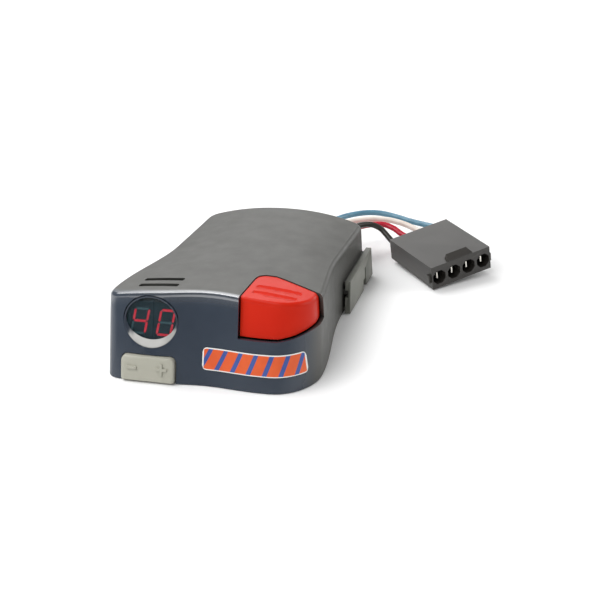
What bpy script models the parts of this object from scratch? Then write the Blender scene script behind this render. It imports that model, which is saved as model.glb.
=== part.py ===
"""Trailer brake controller unit: moulded case, display, keys, manual override, clip and wiring."""
import math

import bmesh
import bpy
import numpy as np
from mathutils import Euler, Matrix, Vector

MM = 0.001

# ---- driving dimensions (millimetres) ----
Y_DATUM = -5.77             # moves the case so that its box is centred on the origin
FRONT_HALF_WIDTH = 50.2
WAIST_HALF_WIDTH = 42.9
TAPER_START = -44.0
TAPER_END = 20.0
REAR_TAPER = 0.012
SIDE_DRAFT = 0.006
FRONT_FOOT = -65.3
FRONT_RAKE = 0.274
FRONT_DIP = 1.7
DIP_HALF_SPAN = 26.0
FRONT_END_CURVE = 0.003
REAR_BULGE_Y = 76.0
REAR_BULGE = 5.0
LEFT_CORNER_R = 6.0
RIGHT_CORNER_R = 19.0
REAR_CORNER_R = 4.0
TOP_FRONT_HEIGHT = 42.0
TOP_SLOPE = 0.0675
TOP_FRONT_Y = -50.0
CROWN_FRONT = 4.0
CROWN_REAR = 5.9
CROWN_RUN = 75.0
CROWN_POWER = 2.2
EDGE_R = 2.5
WALL = 1.9
GAP = 0.3

VENT_X = (-36.5, -17.3)
VENT_Y = (-36.7, -44.4)
VENT_HALF = 1.7

SPINE_FRONT = -15.0
SPINE_REAR = 45.0
OUTLINE_POINTS = 68
WALL_STEPS = 4

# display
WINDOW_X = -27.3
WINDOW_FRONT = (27.45, 12.75, 11.3)     # centre height, half width, half height at the face
WINDOW_REAR = (28.9, 12.45, 9.85)       # the same at the pane
PANE_DEPTH = 1.7
PANE_THICK = 1.2
PANE_LIP = 0.5
BEZEL_WALL = 0.5
BEZEL_PROUD = 0.1
CUTTER_REACH = 1.6
CUTTER_PLAY = 0.2           # the face falls away from the flat pane towards its ends
DIGIT_X = (-33.4, -20.7)
DIGIT_Z = 26.45
DIGIT_BLOCK = (12.4, 7.1, 18.0)

# plain decal
DECAL_X = (-2.0, 46.8)
DECAL_Z = (7.5, 17.5)
DECAL_LIFT = 0.25
DECAL_THICK = 0.3

# adjusting key
KEY_X = (-41.4, -14.9)
KEY_Z = (0.5, 12.0)
KEY_PROUD = 2.0
KEY_REAR_Y = -57.3
KEY_PIVOT_Y = -58.6
KEY_PIN_R = 0.9
KEY_POST_X = 9.0
SWITCH_BODY = 2.8
SWITCH_DOME = 0.7
POST_PLAY = 0.5
KEY_GAP = 0.45
KEY_TOP_R = 2.8
KEY_FOOT_R = 1.0
KEY_LUG_HALF = 2.6
KEY_LUG_Y = (-60.2, -56.2)
KEY_LUG_TOP = 14.4
SWITCH_Z = 8.0
MARK_Z = 7.0
MARKS = ((-35.9, 5.2, 1.2, 0.35), (-21.0, 5.6, 1.2, 0.3), (-21.0, 1.2, 5.4, 0.35))

# manual override
OVERRIDE_LEFT = 15.2
OVERRIDE_FLOOR = ((34.0, 23.0), (41.0, 23.9), (47.0, 25.2))
OVERRIDE_REAR = ((16.0, -24.6), (18.6, -22.4), (24.0, -22.0), (38.5, -28.3), (47.5, -32.2))
OVERRIDE_INSET = WALL + GAP
OVERRIDE_WALL = 1.8
PIVOT_Y = -26.0
PIVOT_Z = 31.0
PIN_R = 1.2
RUNNING = 0.06
OVERRIDE_LID = 0.45         # step from the case top down to the button
EAR_R = 2.4
LUGS = ((11.6, 13.8, -30.0, -21.0), (42.0, 44.0, -28.6, -22.0))
PIN_X = (6.2, 43.6)
SENSOR_X = (5.0, 11.3)
SENSOR_R = 5.4
GROOVES = 2
GROOVE_START = -36.0
GROOVE_PITCH = 7.4
GROOVE_X = (19.6, 39.4)
GROOVE_SKEW = 0.7
GROOVE_DEPTH = 0.6
GROOVE_FLOOR = 0.7
GROOVE_SLOPE = 1.4
GROOVE_REACH = 2.0
SPRING_AT = (27.0, -42.0)
SPRING_R = 2.8
SPRING_WIRE = 0.35
SPRING_TURNS = 6
FACET_SAG = 0.2             # how far a facet may dip below the curved roof it follows

# clip
CLIP_OUTER_X = 46.9
CLIP_ARM = 2.9
CLIP_TOP = 16.5
CLIP_BASE = 1.8
CLIP_FRONT_FOOT = 22.6
CLIP_FRONT_RAKE = 0.18
CLIP_REAR = 70.6
CLIP_BASE_Y = (26.0, 50.0)
NOTCH_Y = (51.3, 57.0)
NOTCH_TOP = 5.5
SLIT_Y = (54.6, 57.0)
SLIT_TOP = 11.0
RAIL_Y = (27.0, 66.0)
RAIL_Z = (8.6, 11.4)
RAIL_IN = 41.6
RAIL_OUT = 45.3
RIB_OUT = 43.6
RIB_Z = (13.9, 15.6)
CLIP_SCREW_X = 24.0
CLIP_SCREW_R = 2.2

# base plate, boards and fasteners
PLATE_Z = (2.4, 5.0)
BOARD_Z = (11.0, 12.6)
CASE_BOSSES = ((-44.3, -30.0), (44.3, -30.0), (-37.4, 65.0), (37.4, 65.0))
BOARD_POSTS = ((-32.0, -26.0), (32.0, -16.0), (-32.0, 48.0), (32.0, 48.0))
BOSS_R = 3.6
BOSS_PILOT_R = 1.26
POST_R = 2.6
BOARD_X = (-37.5, 37.5)
BOARD_Y = (-35.5, 56.0)
SINK_X = (14.0, 32.0)
SINK_Y = (12.0, 38.0)
SINK_FINS = 4
CAN_AT = (-20.0, 22.0)

# wiring
WIRE_R = 1.55
WIRE_STEP = 4.5
EXIT_X = (13.0, 18.6, 24.2, 29.8)
EXIT_Z = 17.0
GROMMET_HALF = (12.4, 4.6)
GROMMET_Y = (69.5, 78.0)
PLUG_AT = (80.5, 85.4, 3.35)          # middle of its underside
PLUG_TURN = (6.5, 2.65, -46.9)        # roll, pitch and yaw in degrees
PLUG_WIDTH = 35.6
PLUG_LENGTH = 42.6
PLUG_FRONT_HEIGHT = 12.7
PLUG_REAR_HEIGHT = 11.4
SOCKET_PITCH = 8.9
SOCKET_R = 4.0
SOCKET_DEPTH = 16.0
SOCKET_Z = 5.9
LATCH_HALF = 7.5
LATCH_RISE = (0.4, 2.3)
LATCH_RUN = (4.2, 0.15)
LATCH_DRAW = 1.35            # how much narrower the rear of the ramp is, each side
BLADE_FRONT = 2.4
BLADE_HALF = (0.35, 1.7)


def smoothstep(t):
    t = np.clip(t, 0.0, 1.0)
    return t * t * (3.0 - 2.0 * t)


def half_width(y, z):
    """Half width of the case: broad at the front, waisted behind."""
    share = smoothstep((y - TAPER_START) / (TAPER_END - TAPER_START))
    width = FRONT_HALF_WIDTH + (WAIST_HALF_WIDTH - FRONT_HALF_WIDTH) * share
    return width - REAR_TAPER * np.maximum(y - TAPER_END, 0.0) - SIDE_DRAFT * z


def front_y(x, z):
    """Raked front face with two shallow lobes."""
    dip = FRONT_DIP * (1.0 + np.cos(np.pi * np.clip(x / DIP_HALF_SPAN, -1.0, 1.0))) / 2.0
    ends = FRONT_END_CURVE * np.maximum(np.abs(x) - 25.0, 0.0) ** 2
    return FRONT_FOOT + FRONT_RAKE * z + dip * (1.0 + z / 60.0) + ends


def rear_y(x):
    return REAR_BULGE_Y - REAR_BULGE * (x / WAIST_HALF_WIDTH) ** 2


def rounded_max(a, b, r):
    corner = np.hypot(np.maximum(a + r, 0.0), np.maximum(b + r, 0.0)) - r
    return np.where((a > -r) & (b > -r), corner, np.maximum(a, b))


def plan_distance(x, y, z):
    """Signed distance to the case wall in plan, negative inside."""
    front = (front_y(x, z) - y) * 0.97
    rear = y - rear_y(x)
    side = half_width(y, z)
    left = -x - side
    right = x - side
    wall = rounded_max(front, left, LEFT_CORNER_R)
    wall = np.maximum(wall, rounded_max(front, right, RIGHT_CORNER_R))
    wall = np.maximum(wall, rounded_max(rear, left, REAR_CORNER_R))
    return np.maximum(wall, rounded_max(rear, right, REAR_CORNER_R))


def top_z(x, y):
    """Crowned top of the case, falling towards the rear."""
    centre = TOP_FRONT_HEIGHT - TOP_SLOPE * (y - TOP_FRONT_Y)
    crown = CROWN_FRONT + (CROWN_REAR - CROWN_FRONT) * smoothstep((y - TOP_FRONT_Y) / CROWN_RUN)
    return centre - crown * np.minimum(np.abs(x) / half_width(y, 0.0), 1.1) ** CROWN_POWER


def cast(anchor, heading, z, offset):
    """Distance along each plan ray from its anchor to the wall moved in by offset."""
    low = np.zeros(len(anchor))
    high = np.full(len(anchor), 95.0)
    for _ in range(34):
        mid = (low + high) / 2.0
        spot = anchor + heading * mid[:, None]
        outside = plan_distance(spot[:, 0], spot[:, 1], z) > -offset
        high = np.where(outside, mid, high)
        low = np.where(outside, low, mid)
    return low


def outline_rays(count):
    """Plan rays from the spine of the case, closer together where the outline turns."""
    fine = 1600
    front_fan = np.radians(np.linspace(180.0, 360.0, fine, endpoint=False))
    rear_fan = np.radians(np.linspace(0.0, 180.0, fine, endpoint=False))
    along = np.linspace(SPINE_FRONT, SPINE_REAR, fine // 2, endpoint=False)
    anchor_y = np.concatenate([np.full(fine, SPINE_FRONT), along, np.full(fine, SPINE_REAR), along[::-1]])
    angle = np.concatenate([front_fan, np.zeros(fine // 2), rear_fan, np.full(fine // 2, np.pi)])
    anchor = np.stack([np.zeros(len(angle)), anchor_y], 1)
    heading = np.stack([np.cos(angle), np.sin(angle)], 1)
    edge = anchor + heading * cast(anchor, heading, 15.0, 0.0)[:, None]
    step = np.roll(edge, -1, 0) - edge
    length = np.hypot(step[:, 0], step[:, 1])
    turn = np.arctan2(step[:, 1], step[:, 0])
    bend = np.abs((np.roll(turn, -1) - turn + np.pi) % (2.0 * np.pi) - np.pi)
    weight = np.cumsum(length + 28.0 * np.minimum(bend, 0.2))
    picks = np.searchsorted(weight, np.arange(count) * weight[-1] / count)
    return anchor[picks], heading[picks]


def shell_rings(count, offset, lift, edge_r, arc_steps, top_steps, foot):
    """Rings from the foot of the wall, over the rounded edge, to near the spine."""
    anchor, heading = outline_rays(count)
    tip = anchor + heading * cast(anchor, heading, 34.0, offset + edge_r)[:, None]
    rim = top_z(tip[:, 0], tip[:, 1]) - lift
    rings = []
    for share in np.linspace(0.0, 1.0, WALL_STEPS + 1):
        height = foot + (rim - edge_r - foot) * share
        spot = anchor + heading * cast(anchor, heading, height, offset)[:, None]
        rings.append(np.column_stack([spot, height]))
    wall = rings[-1][:, :2]
    for k in range(1, arc_steps + 1):
        turn = math.pi / 2.0 * k / arc_steps
        spot = wall + (tip - wall) * (1.0 - math.cos(turn))
        rings.append(np.column_stack([spot, rim - edge_r + edge_r * math.sin(turn)]))
    for k in range(1, top_steps + 1):
        share = 1.0 - 0.9 * k / top_steps
        spot = anchor + (tip - anchor) * share
        rings.append(np.column_stack([spot, top_z(spot[:, 0], spot[:, 1]) - lift]))
    return rings


def place(points):
    """Design millimetres to scene metres."""
    return [Vector(((p[0]) * MM, (p[1] + Y_DATUM) * MM, p[2] * MM)) for p in points]


def mesh_object(name, points, faces):
    mesh = bpy.data.meshes.new(name)
    bm = bmesh.new()
    verts = [bm.verts.new(p) for p in place(points)]
    for face in faces:
        bm.faces.new([verts[i] for i in face])
    bmesh.ops.recalc_face_normals(bm, faces=bm.faces[:])
    bmesh.ops.triangulate(bm, faces=bm.faces[:])
    bm.to_mesh(mesh)
    bm.free()
    obj = bpy.data.objects.new(name, mesh)
    bpy.context.scene.collection.objects.link(obj)
    return obj


def from_rings(name, rings, looped=False):
    """Closed body through a list of equal rings: capped at both ends, or looped back to the first."""
    count = len(rings[0])
    total = len(rings)
    points = [tuple(p) for ring in rings for p in ring]
    faces = []
    if not looped:
        faces += [list(range(count)), list(range(count * (total - 1), count * total))]
    for k in range(total if looped else total - 1):
        base, above = k * count, (k + 1) % total * count
        for i in range(count):
            j = (i + 1) % count
            faces.append([base + i, base + j, above + j, above + i])
    return mesh_object(name, points, faces)


def prism(name, outline, axis, low, high):
    """Outline in the plane across an axis, drawn out along that axis."""
    def spot(pair, level):
        values = list(pair)
        values.insert("xyz".index(axis), level)
        return tuple(values)
    return from_rings(name, [[spot(p, low) for p in outline], [spot(p, high) for p in outline]])


def block(name, x, y, z):
    outline = [(x[0], y[0]), (x[1], y[0]), (x[1], y[1]), (x[0], y[1])]
    return prism(name, outline, "z", z[0], z[1])


def ring_points(centre, radius, count, squash=1.0):
    angles = [2.0 * math.pi * k / count for k in range(count)]
    return [(centre[0] + radius * math.cos(a), centre[1] + radius * squash * math.sin(a)) for a in angles]


def rod(name, centre, radius, axis, low, high, count=16):
    return prism(name, ring_points(centre, radius, count), axis, low, high)


def turned(name, centre, profile, axis, count=16):
    """Body turned about an axis from (radius, level) pairs."""
    rings = []
    for radius, level in profile:
        ring = []
        for pair in ring_points(centre, radius, count):
            values = list(pair)
            values.insert("xyz".index(axis), level)
            ring.append(tuple(values))
        rings.append(ring)
    return from_rings(name, rings)


def combine(obj, tool, operation):
    """Exact Boolean, applied at once; the tool is removed."""
    step = obj.modifiers.new("cut", "BOOLEAN")
    step.object = tool
    step.operation = operation
    step.solver = "EXACT"
    graph = bpy.context.evaluated_depsgraph_get()
    result = bpy.data.meshes.new_from_object(obj.evaluated_get(graph))
    obj.modifiers.clear()
    obj.data = result
    bpy.data.objects.remove(tool)


def cut(obj, *tools):
    for tool in tools:
        combine(obj, tool, "DIFFERENCE")


def join(obj, *tools):
    for tool in tools:
        combine(obj, tool, "UNION")


def clean(obj, reach=0.02):
    """Collapses the slivers that cutting leaves along facet edges."""
    bm = bmesh.new()
    bm.from_mesh(obj.data)
    bmesh.ops.dissolve_degenerate(bm, dist=reach * MM, edges=bm.edges[:])
    bmesh.ops.triangulate(bm, faces=bm.faces[:])
    bm.to_mesh(obj.data)
    bm.free()


def soften(obj, width, segments=1, angle=40.0):
    """Rounds the edges that turn more sharply than angle."""
    bm = bmesh.new()
    bm.from_mesh(obj.data)
    sharp = math.radians(angle)
    edges = [e for e in bm.edges if len(e.link_faces) == 2 and e.calc_face_angle() > sharp]
    bmesh.ops.bevel(bm, geom=edges, offset=width * MM, segments=segments,
                    affect="EDGES", clamp_overlap=True)
    bm.to_mesh(obj.data)
    bm.free()


def surface(name, colour, roughness, metallic=0.0, alpha=1.0):
    material = bpy.data.materials.new(name)
    material.use_nodes = True
    shader = material.node_tree.nodes["Principled BSDF"]
    shader.inputs["Base Color"].default_value = (colour[0], colour[1], colour[2], 1.0)
    shader.inputs["Roughness"].default_value = roughness
    shader.inputs["Metallic"].default_value = metallic
    shader.inputs["Alpha"].default_value = alpha
    material.diffuse_color = (colour[0], colour[1], colour[2], alpha)
    return material


def paint(obj, colour, roughness, metallic=0.0, alpha=1.0, smooth=False):
    obj.data.materials.clear()
    obj.data.materials.append(surface(obj.name, colour, roughness, metallic, alpha))
    if smooth:
        for face in obj.data.polygons:
            face.use_smooth = True


def pivot(obj, point):
    """Moves the object's origin onto its joint axis."""
    spot = place([point])[0]
    obj.data.transform(Matrix.Translation(-spot))
    obj.location = spot


def clear_scene():
    for obj in list(bpy.data.objects):
        bpy.data.objects.remove(obj, do_unlink=True)


# ---- case ----

def window_ellipse(spec, grow, level, count=32):
    """Window outline at a depth; level is a number or a function of x and z."""
    points = []
    for x, z in ring_points((WINDOW_X, spec[0]), 1.0, count):
        px = WINDOW_X + (x - WINDOW_X) * (spec[1] + grow)
        pz = spec[0] + (z - spec[0]) * (spec[2] + grow)
        points.append((px, level(px, pz) if callable(level) else level, pz))
    return points


def face_level(proud):
    """Level a given height proud of the moulded front face."""
    return lambda x, z: float(front_y(x, z)) - proud


def raked_level(depth):
    """Flat level behind the front face, parallel to its rake."""
    return lambda x, z: FRONT_FOOT + FRONT_RAKE * z + depth


def raked_block(name, x, depth, z):
    """Block whose front and rear lean with the front face."""
    side = []
    for level, reach in ((z[0], depth[0]), (z[1], depth[0]), (z[1], depth[1]), (z[0], depth[1])):
        side.append((raked_level(reach)(0.0, level), level))
    return prism(name, side, "x", x[0], x[1])


def window_cutter():
    """Cutter that flares forward past the face, so that it leaves a clean rim."""
    grow = BEZEL_WALL + GAP + CUTTER_PLAY
    flare = CUTTER_REACH / (PANE_DEPTH - GAP)
    mouth = [front + (front - rear) * flare for front, rear in zip(WINDOW_FRONT, WINDOW_REAR)]
    return from_rings("window_cutter", [
        window_ellipse(mouth, grow, face_level(CUTTER_REACH)),
        window_ellipse(WINDOW_REAR, grow, raked_level(PANE_DEPTH - GAP)),
        window_ellipse(WINDOW_REAR, grow, raked_level(PANE_DEPTH + 8.0)),
    ])


def override_floor(inset):
    """Outline across the case of the space the override sits in."""
    left = OVERRIDE_LEFT + inset
    rise = [(x, z + (1.0 + x / 60.0) * inset) for x, z in OVERRIDE_FLOOR]
    first = rise[0][1]
    return [(left, first)] + rise + [(60.0, rise[-1][1] + 0.4), (60.0, 60.0), (left, 60.0)]


def override_plan(inset):
    """Plan outline of the same space, with its slanting rear edge."""
    left = OVERRIDE_LEFT + inset
    shallow = [(max(x, left), y - inset * 1.05) for x, y in OVERRIDE_REAR]
    return [(left, -85.0), (left, -28.0)] + shallow + [(60.0, -37.6 - inset), (60.0, -85.0)]


def override_space(name, inset):
    space = prism(name, override_floor(inset), "y", -85.0, -15.0)
    combine(space, prism("plan", override_plan(inset), "z", 0.0, 70.0), "INTERSECT")
    return space


def groove_cutter(y, drop):
    """Sloping-sided cutter whose floor lies a given drop below the case top."""
    rings = []
    for level in (0.0, GROOVE_REACH):
        half = GROOVE_FLOOR + GROOVE_SLOPE * level
        grow = GROOVE_SLOPE * level
        left, right = GROOVE_X
        ring = []
        for x, spot in ((left - grow, y + half), (right + grow, y - GROOVE_SKEW + half),
                        (right + grow, y - GROOVE_SKEW - half), (left - grow, y - half)):
            ring.append((x, spot, float(top_z(x, y)) - drop + level))
        rings.append(ring)
    return from_rings("groove", rings)


def build_housing():
    outer = shell_rings(OUTLINE_POINTS, 0.0, 0.0, EDGE_R, 3, 4, 0.0)
    inner = shell_rings(OUTLINE_POINTS, WALL, WALL, 0.8, 1, 3, 0.0)
    housing = from_rings("upper_housing", inner[::-1] + outer)
    cut(housing, window_cutter(), override_space("override_cutter", 0.0))
    key_mid = sum(KEY_X) / 2.0
    join(housing, block("key_lug", (key_mid - KEY_LUG_HALF, key_mid + KEY_LUG_HALF), KEY_LUG_Y,
                        (KEY_Z[1] - 1.3, KEY_LUG_TOP)))
    cut(housing, prism("key_cutter", key_outline(3, KEY_GAP, -3.0), "y", -80.0, -50.0))
    # vent slots
    for y in VENT_Y:
        left, right = VENT_X
        ends = [(left, y - VENT_HALF), (right, y - VENT_HALF), (right + 0.4, y),
                (right, y + VENT_HALF), (left, y + VENT_HALF), (left - 0.4, y)]
        cut(housing, prism("vent", ends, "z", 30.0, 50.0))
    # opening under the clip, and the rails the clip runs on
    cut(housing, block("clip_way", (-60.0, 60.0), (CLIP_BASE_Y[0] - GAP, 90.0), (-2.0, CLIP_BASE + GAP)))
    for side in (-1.0, 1.0):
        for out, span in ((RAIL_OUT, RAIL_Z), (RIB_OUT, RIB_Z)):
            x = sorted((side * RAIL_IN, side * out))
            join(housing, block("rail", x, RAIL_Y, span))
    # screw bosses
    for x, y in CASE_BOSSES:
        height = 16.0 if y < 0 and x > 0 else 21.0
        join(housing, rod("boss", (x, y), BOSS_R, "z", PLATE_Z[1] + GAP, height, 14))
        cut(housing, rod("pilot", (x, y), BOSS_PILOT_R, "z", 0.0, 14.0, 12))
    # lugs that carry the override pin
    for x0, x1, front, rear in LUGS:
        roof = float(top_z(x1, rear)) - WALL + 0.7
        join(housing, block("lug", (x0, x1), (front, rear), (PIVOT_Z - 3.0, roof)))
        cut(housing, rod("pin_hole", (PIVOT_Y, PIVOT_Z), PIN_R + RUNNING, "x", x0 - 0.5, x1 + 0.5, 16))
    # hole for the cable grommet, low in the rear wall
    mid = (EXIT_X[0] + EXIT_X[-1]) / 2.0
    half_w, half_h = GROMMET_HALF
    cut(housing, block("grommet_hole", (mid - half_w - GAP, mid + half_w + GAP), (68.0, 82.0),
                       (EXIT_Z - half_h - GAP, EXIT_Z + half_h + GAP)))
    # hole for the upper end of the key's pin
    cut(housing, rod("key_pin_hole", (key_mid, KEY_PIVOT_Y), KEY_PIN_R + RUNNING, "z",
                     5.0, KEY_LUG_TOP - 0.5, 12))
    clean(housing)
    paint(housing, (0.075, 0.078, 0.076), 0.45)
    return housing


def build_decal():
    """Plain band that wraps the front of the case and its rounded corner."""
    count = 15
    start = math.atan2(-64.0 - SPINE_FRONT, DECAL_X[0])
    end = math.atan2(-53.5 - SPINE_FRONT, DECAL_X[1])
    angles = np.linspace(start, end, count)
    heading = np.stack([np.cos(angles), np.sin(angles)], 1)
    anchor = np.stack([np.zeros(count), np.full(count, SPINE_FRONT)], 1)

    def row(z, proud):
        spot = anchor + heading * cast(anchor, heading, z, -proud)[:, None]
        return [(p[0], p[1], z) for p in spot]

    low, high = DECAL_Z
    proud = (DECAL_LIFT, DECAL_LIFT + DECAL_THICK)
    levels = [(low, proud[0]), (low, proud[1]), (high, proud[1]), (high, proud[0])]
    rows = [row(z, lift) for z, lift in levels]
    rings = [[rows[k][i] for k in range(len(levels))] for i in range(count)]
    paint(from_rings("front_decal", rings), (0.75, 0.16, 0.03), 0.35)


def build_display():
    """Bezel, pane, two digit blocks and their board; returns the board's depth."""
    bezel = from_rings("display_bezel", [
        window_ellipse(WINDOW_REAR, 0.0, raked_level(PANE_DEPTH - GAP)),
        window_ellipse(WINDOW_FRONT, 0.0, face_level(BEZEL_PROUD)),
        window_ellipse(WINDOW_FRONT, BEZEL_WALL, face_level(BEZEL_PROUD)),
        window_ellipse(WINDOW_REAR, BEZEL_WALL, raked_level(PANE_DEPTH - GAP)),
    ], looped=True)
    paint(bezel, (0.42, 0.42, 0.40), 0.3)
    pane = from_rings("display_window", [
        window_ellipse(WINDOW_REAR, PANE_LIP, raked_level(PANE_DEPTH)),
        window_ellipse(WINDOW_REAR, PANE_LIP, raked_level(PANE_DEPTH + PANE_THICK)),
    ])
    paint(pane, (0.03, 0.04, 0.045), 0.08, alpha=0.5)
    wide, deep, tall = DIGIT_BLOCK
    front = PANE_DEPTH + PANE_THICK + GAP
    z_span = (DIGIT_Z - tall / 2.0, DIGIT_Z + tall / 2.0)
    for name, x in zip(("digit_tens", "digit_units"), DIGIT_X):
        digit = raked_block(name, (x - wide / 2.0, x + wide / 2.0), (front, front + deep), z_span)
        paint(digit, (0.25, 0.02, 0.03), 0.4)
    board_depth = front + deep + GAP
    board = raked_block("display_board", (-43.0, -10.5), (board_depth, board_depth + 1.6), (5.6, 35.6))
    paint(board, (0.02, 0.14, 0.06), 0.5)
    header_front = raked_level(board_depth + 1.6 + GAP)(0.0, 16.2)
    header_y = (header_front, header_front + 6.0)
    header = block("board_header", (-33.0, -19.0), header_y, (BOARD_Z[1] + GAP, 16.2))
    paint(header, (0.03, 0.03, 0.03), 0.5)
    return board_depth


def key_outline(steps=3, grow=0.0, foot=KEY_Z[0]):
    """Rounded key outline seen from the front."""
    radius = KEY_TOP_R + grow
    foot_r = KEY_FOOT_R
    left, right = KEY_X[0] - grow, KEY_X[1] + grow
    top = KEY_Z[1] + grow
    corners = [
        (right - radius, top - radius, radius, 0.0),
        (left + radius, top - radius, radius, 90.0),
        (left + foot_r, foot + foot_r, foot_r, 180.0),
        (right - foot_r, foot + foot_r, foot_r, 270.0),
    ]
    outline = []
    for x, z, r, start in corners:
        for k in range(steps + 1):
            turn = math.radians(start + 90.0 * k / steps)
            outline.append((x + r * math.cos(turn), z + r * math.sin(turn)))
    return outline


def key_ring(amount, level):
    """Key outline drawn in by amount, at a depth given by a function of x and z."""
    mid_x = sum(KEY_X) / 2.0
    mid_z = sum(KEY_Z) / 2.0
    ring = []
    for x, z in key_outline():
        px = mid_x + (x - mid_x) * (1.0 - amount / 13.0)
        pz = mid_z + (z - mid_z) * (1.0 - amount / 6.0)
        ring.append((px, level(px, pz), pz))
    return ring


def build_key(board_depth):
    mid = sum(KEY_X) / 2.0
    switch_front = raked_level(board_depth - GAP - SWITCH_BODY)(0.0, SWITCH_Z)
    post_rear = switch_front - SWITCH_DOME - POST_PLAY
    key = from_rings("adjust_key", [
        key_ring(0.0, lambda x, z: KEY_REAR_Y),
        key_ring(0.0, face_level(KEY_PROUD - 0.7)),
        key_ring(0.25, face_level(KEY_PROUD - 0.2)),
        key_ring(0.8, face_level(KEY_PROUD)),
    ])
    for x in (mid - KEY_POST_X, mid + KEY_POST_X):
        post_y = (KEY_REAR_Y - 1.0, post_rear)
        join(key, block("post", (x - 1.5, x + 1.5), post_y, (SWITCH_Z - 1.4, SWITCH_Z + 1.4)))
    # raised minus and plus marks
    face = float(front_y(mid, MARK_Z)) - KEY_PROUD
    for x, wide, tall, proud in MARKS:
        lean = FRONT_RAKE * tall / 2.0
        low, high = MARK_Z - tall / 2.0, MARK_Z + tall / 2.0
        front, back = face - proud, face + 1.2 + proud
        side = [(front - lean, low), (front + lean, high), (back + lean, high), (back - lean, low)]
        join(key, prism("mark", side, "x", x - wide / 2.0, x + wide / 2.0))
    cut(key, rod("bore", (mid, KEY_PIVOT_Y), KEY_PIN_R + RUNNING, "z", -2.0, 20.0, 12))
    paint(key, (0.38, 0.36, 0.31), 0.6)
    pivot(key, (mid, KEY_PIVOT_Y, sum(KEY_Z) / 2.0))
    pin = rod("key_pin", (mid, KEY_PIVOT_Y), KEY_PIN_R, "z", 1.0, KEY_LUG_TOP - 0.8, 12)
    paint(pin, (0.6, 0.6, 0.6), 0.3, 1.0)
    for name, x in (("key_switch_minus", mid - KEY_POST_X), ("key_switch_plus", mid + KEY_POST_X)):
        switch = raked_block(name, (x - 3.0, x + 3.0), (board_depth - GAP - SWITCH_BODY, board_depth - GAP),
                             (SWITCH_Z - 2.4, SWITCH_Z + 3.0))
        dome_y = (switch_front - SWITCH_DOME, switch_front + 1.0)
        join(switch, rod("dome", (x, SWITCH_Z), 1.6, "y", dome_y[0], dome_y[1], 12))
        paint(switch, (0.05, 0.05, 0.05), 0.4)


def build_override():
    """Red button with its ears, pivot pin, sensor and return spring."""
    lid = OVERRIDE_LID
    edge = GAP + 0.1
    outer = shell_rings(OUTLINE_POINTS, OVERRIDE_INSET, lid, EDGE_R, 3, 4, 10.0)
    button = from_rings("override_button", outer)
    combine(button, override_space("space", edge), "INTERSECT")
    inner = shell_rings(40, OVERRIDE_INSET + OVERRIDE_WALL, lid + OVERRIDE_WALL, 1.0, 1, 3, 10.0)
    hollow = from_rings("hollow", inner)
    left = OVERRIDE_LEFT + edge + OVERRIDE_WALL
    inside = prism("inside", [(x, y - OVERRIDE_WALL - 0.4) for x, y in override_plan(edge)], "z", 0.0, 60.0)
    combine(inside, block("limit", (left, 70.0), (-90.0, -20.0), (0.0, 60.0)), "INTERSECT")
    combine(hollow, inside, "INTERSECT")
    cut(button, hollow)
    ears = ((OVERRIDE_LEFT + edge + 0.1, OVERRIDE_LEFT + edge + 2.3), (36.0, 38.2))
    r = EAR_R
    for x0, x1 in ears:
        side = [(-36.0, PIVOT_Z - r), (PIVOT_Y + r / 2.0, PIVOT_Z - r), (PIVOT_Y + r, PIVOT_Z - r / 2.0),
                (PIVOT_Y + r, PIVOT_Z + r / 2.0), (PIVOT_Y + r / 2.0, PIVOT_Z + r),
                (PIVOT_Y - 5.0, PIVOT_Z + 5.6), (-36.0, PIVOT_Z + 5.6)]
        join(button, prism("ear", side, "x", x0, x1))
    cut(button, rod("bore", (PIVOT_Y, PIVOT_Z), PIN_R + RUNNING, "x", OVERRIDE_LEFT - 1.0, 41.0, 16))
    # finger grooves across the top
    for k in range(GROOVES):
        cut(button, groove_cutter(GROOVE_START - GROOVE_PITCH * k, lid + GROOVE_DEPTH))
    paint(button, (0.62, 0.035, 0.02), 0.35)
    pin = rod("override_pin", (PIVOT_Y, PIVOT_Z), PIN_R, "x", PIN_X[0], PIN_X[1], 16)
    paint(pin, (0.6, 0.6, 0.6), 0.3, 1.0)
    for piece in (button, pin):
        pivot(piece, (SPRING_AT[0], PIVOT_Y, PIVOT_Z))
    sensor = rod("override_sensor", (PIVOT_Y, PIVOT_Z), SENSOR_R, "x", SENSOR_X[0], SENSOR_X[1], 16)
    cut(sensor, rod("shaft_hole", (PIVOT_Y, PIVOT_Z), PIN_R + RUNNING, "x", 5.9, 14.0, 16))
    foot_y = (PIVOT_Y - 3.5, PIVOT_Y + 3.5)
    join(sensor, block("foot", (6.0, 10.0), foot_y, (BOARD_Z[1] + GAP, PIVOT_Z - 4.0)))
    paint(sensor, (0.05, 0.10, 0.22), 0.4)
    # the spring stops one gap short of the button's underside where that is lowest over the coil
    edge_x = SPRING_AT[0] + SPRING_R + SPRING_WIRE
    roof = float(top_z(edge_x, SPRING_AT[1])) - lid - OVERRIDE_WALL
    spring = build_spring("override_spring", SPRING_AT, SPRING_R, SPRING_WIRE, BOARD_Z[1] + GAP,
                          roof - FACET_SAG - GAP, SPRING_TURNS)
    paint(spring, (0.55, 0.55, 0.56), 0.3, 1.0, smooth=True)


def build_spring(name, centre, radius, wire, low, high, turns):
    """Coil spring as one closed tube."""
    steps = turns * 12
    sides = 5
    rings = []
    for k in range(steps + 1):
        turn = 2.0 * math.pi * turns * k / steps
        rise = low + wire + (high - low - 2.0 * wire) * k / steps
        ring = []
        for i in range(sides):
            a = 2.0 * math.pi * i / sides
            reach = radius + wire * math.cos(a)
            x = centre[0] + reach * math.cos(turn)
            y = centre[1] + reach * math.sin(turn)
            ring.append((x, y, rise + wire * math.sin(a)))
        rings.append(ring)
    return from_rings(name, rings)


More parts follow.
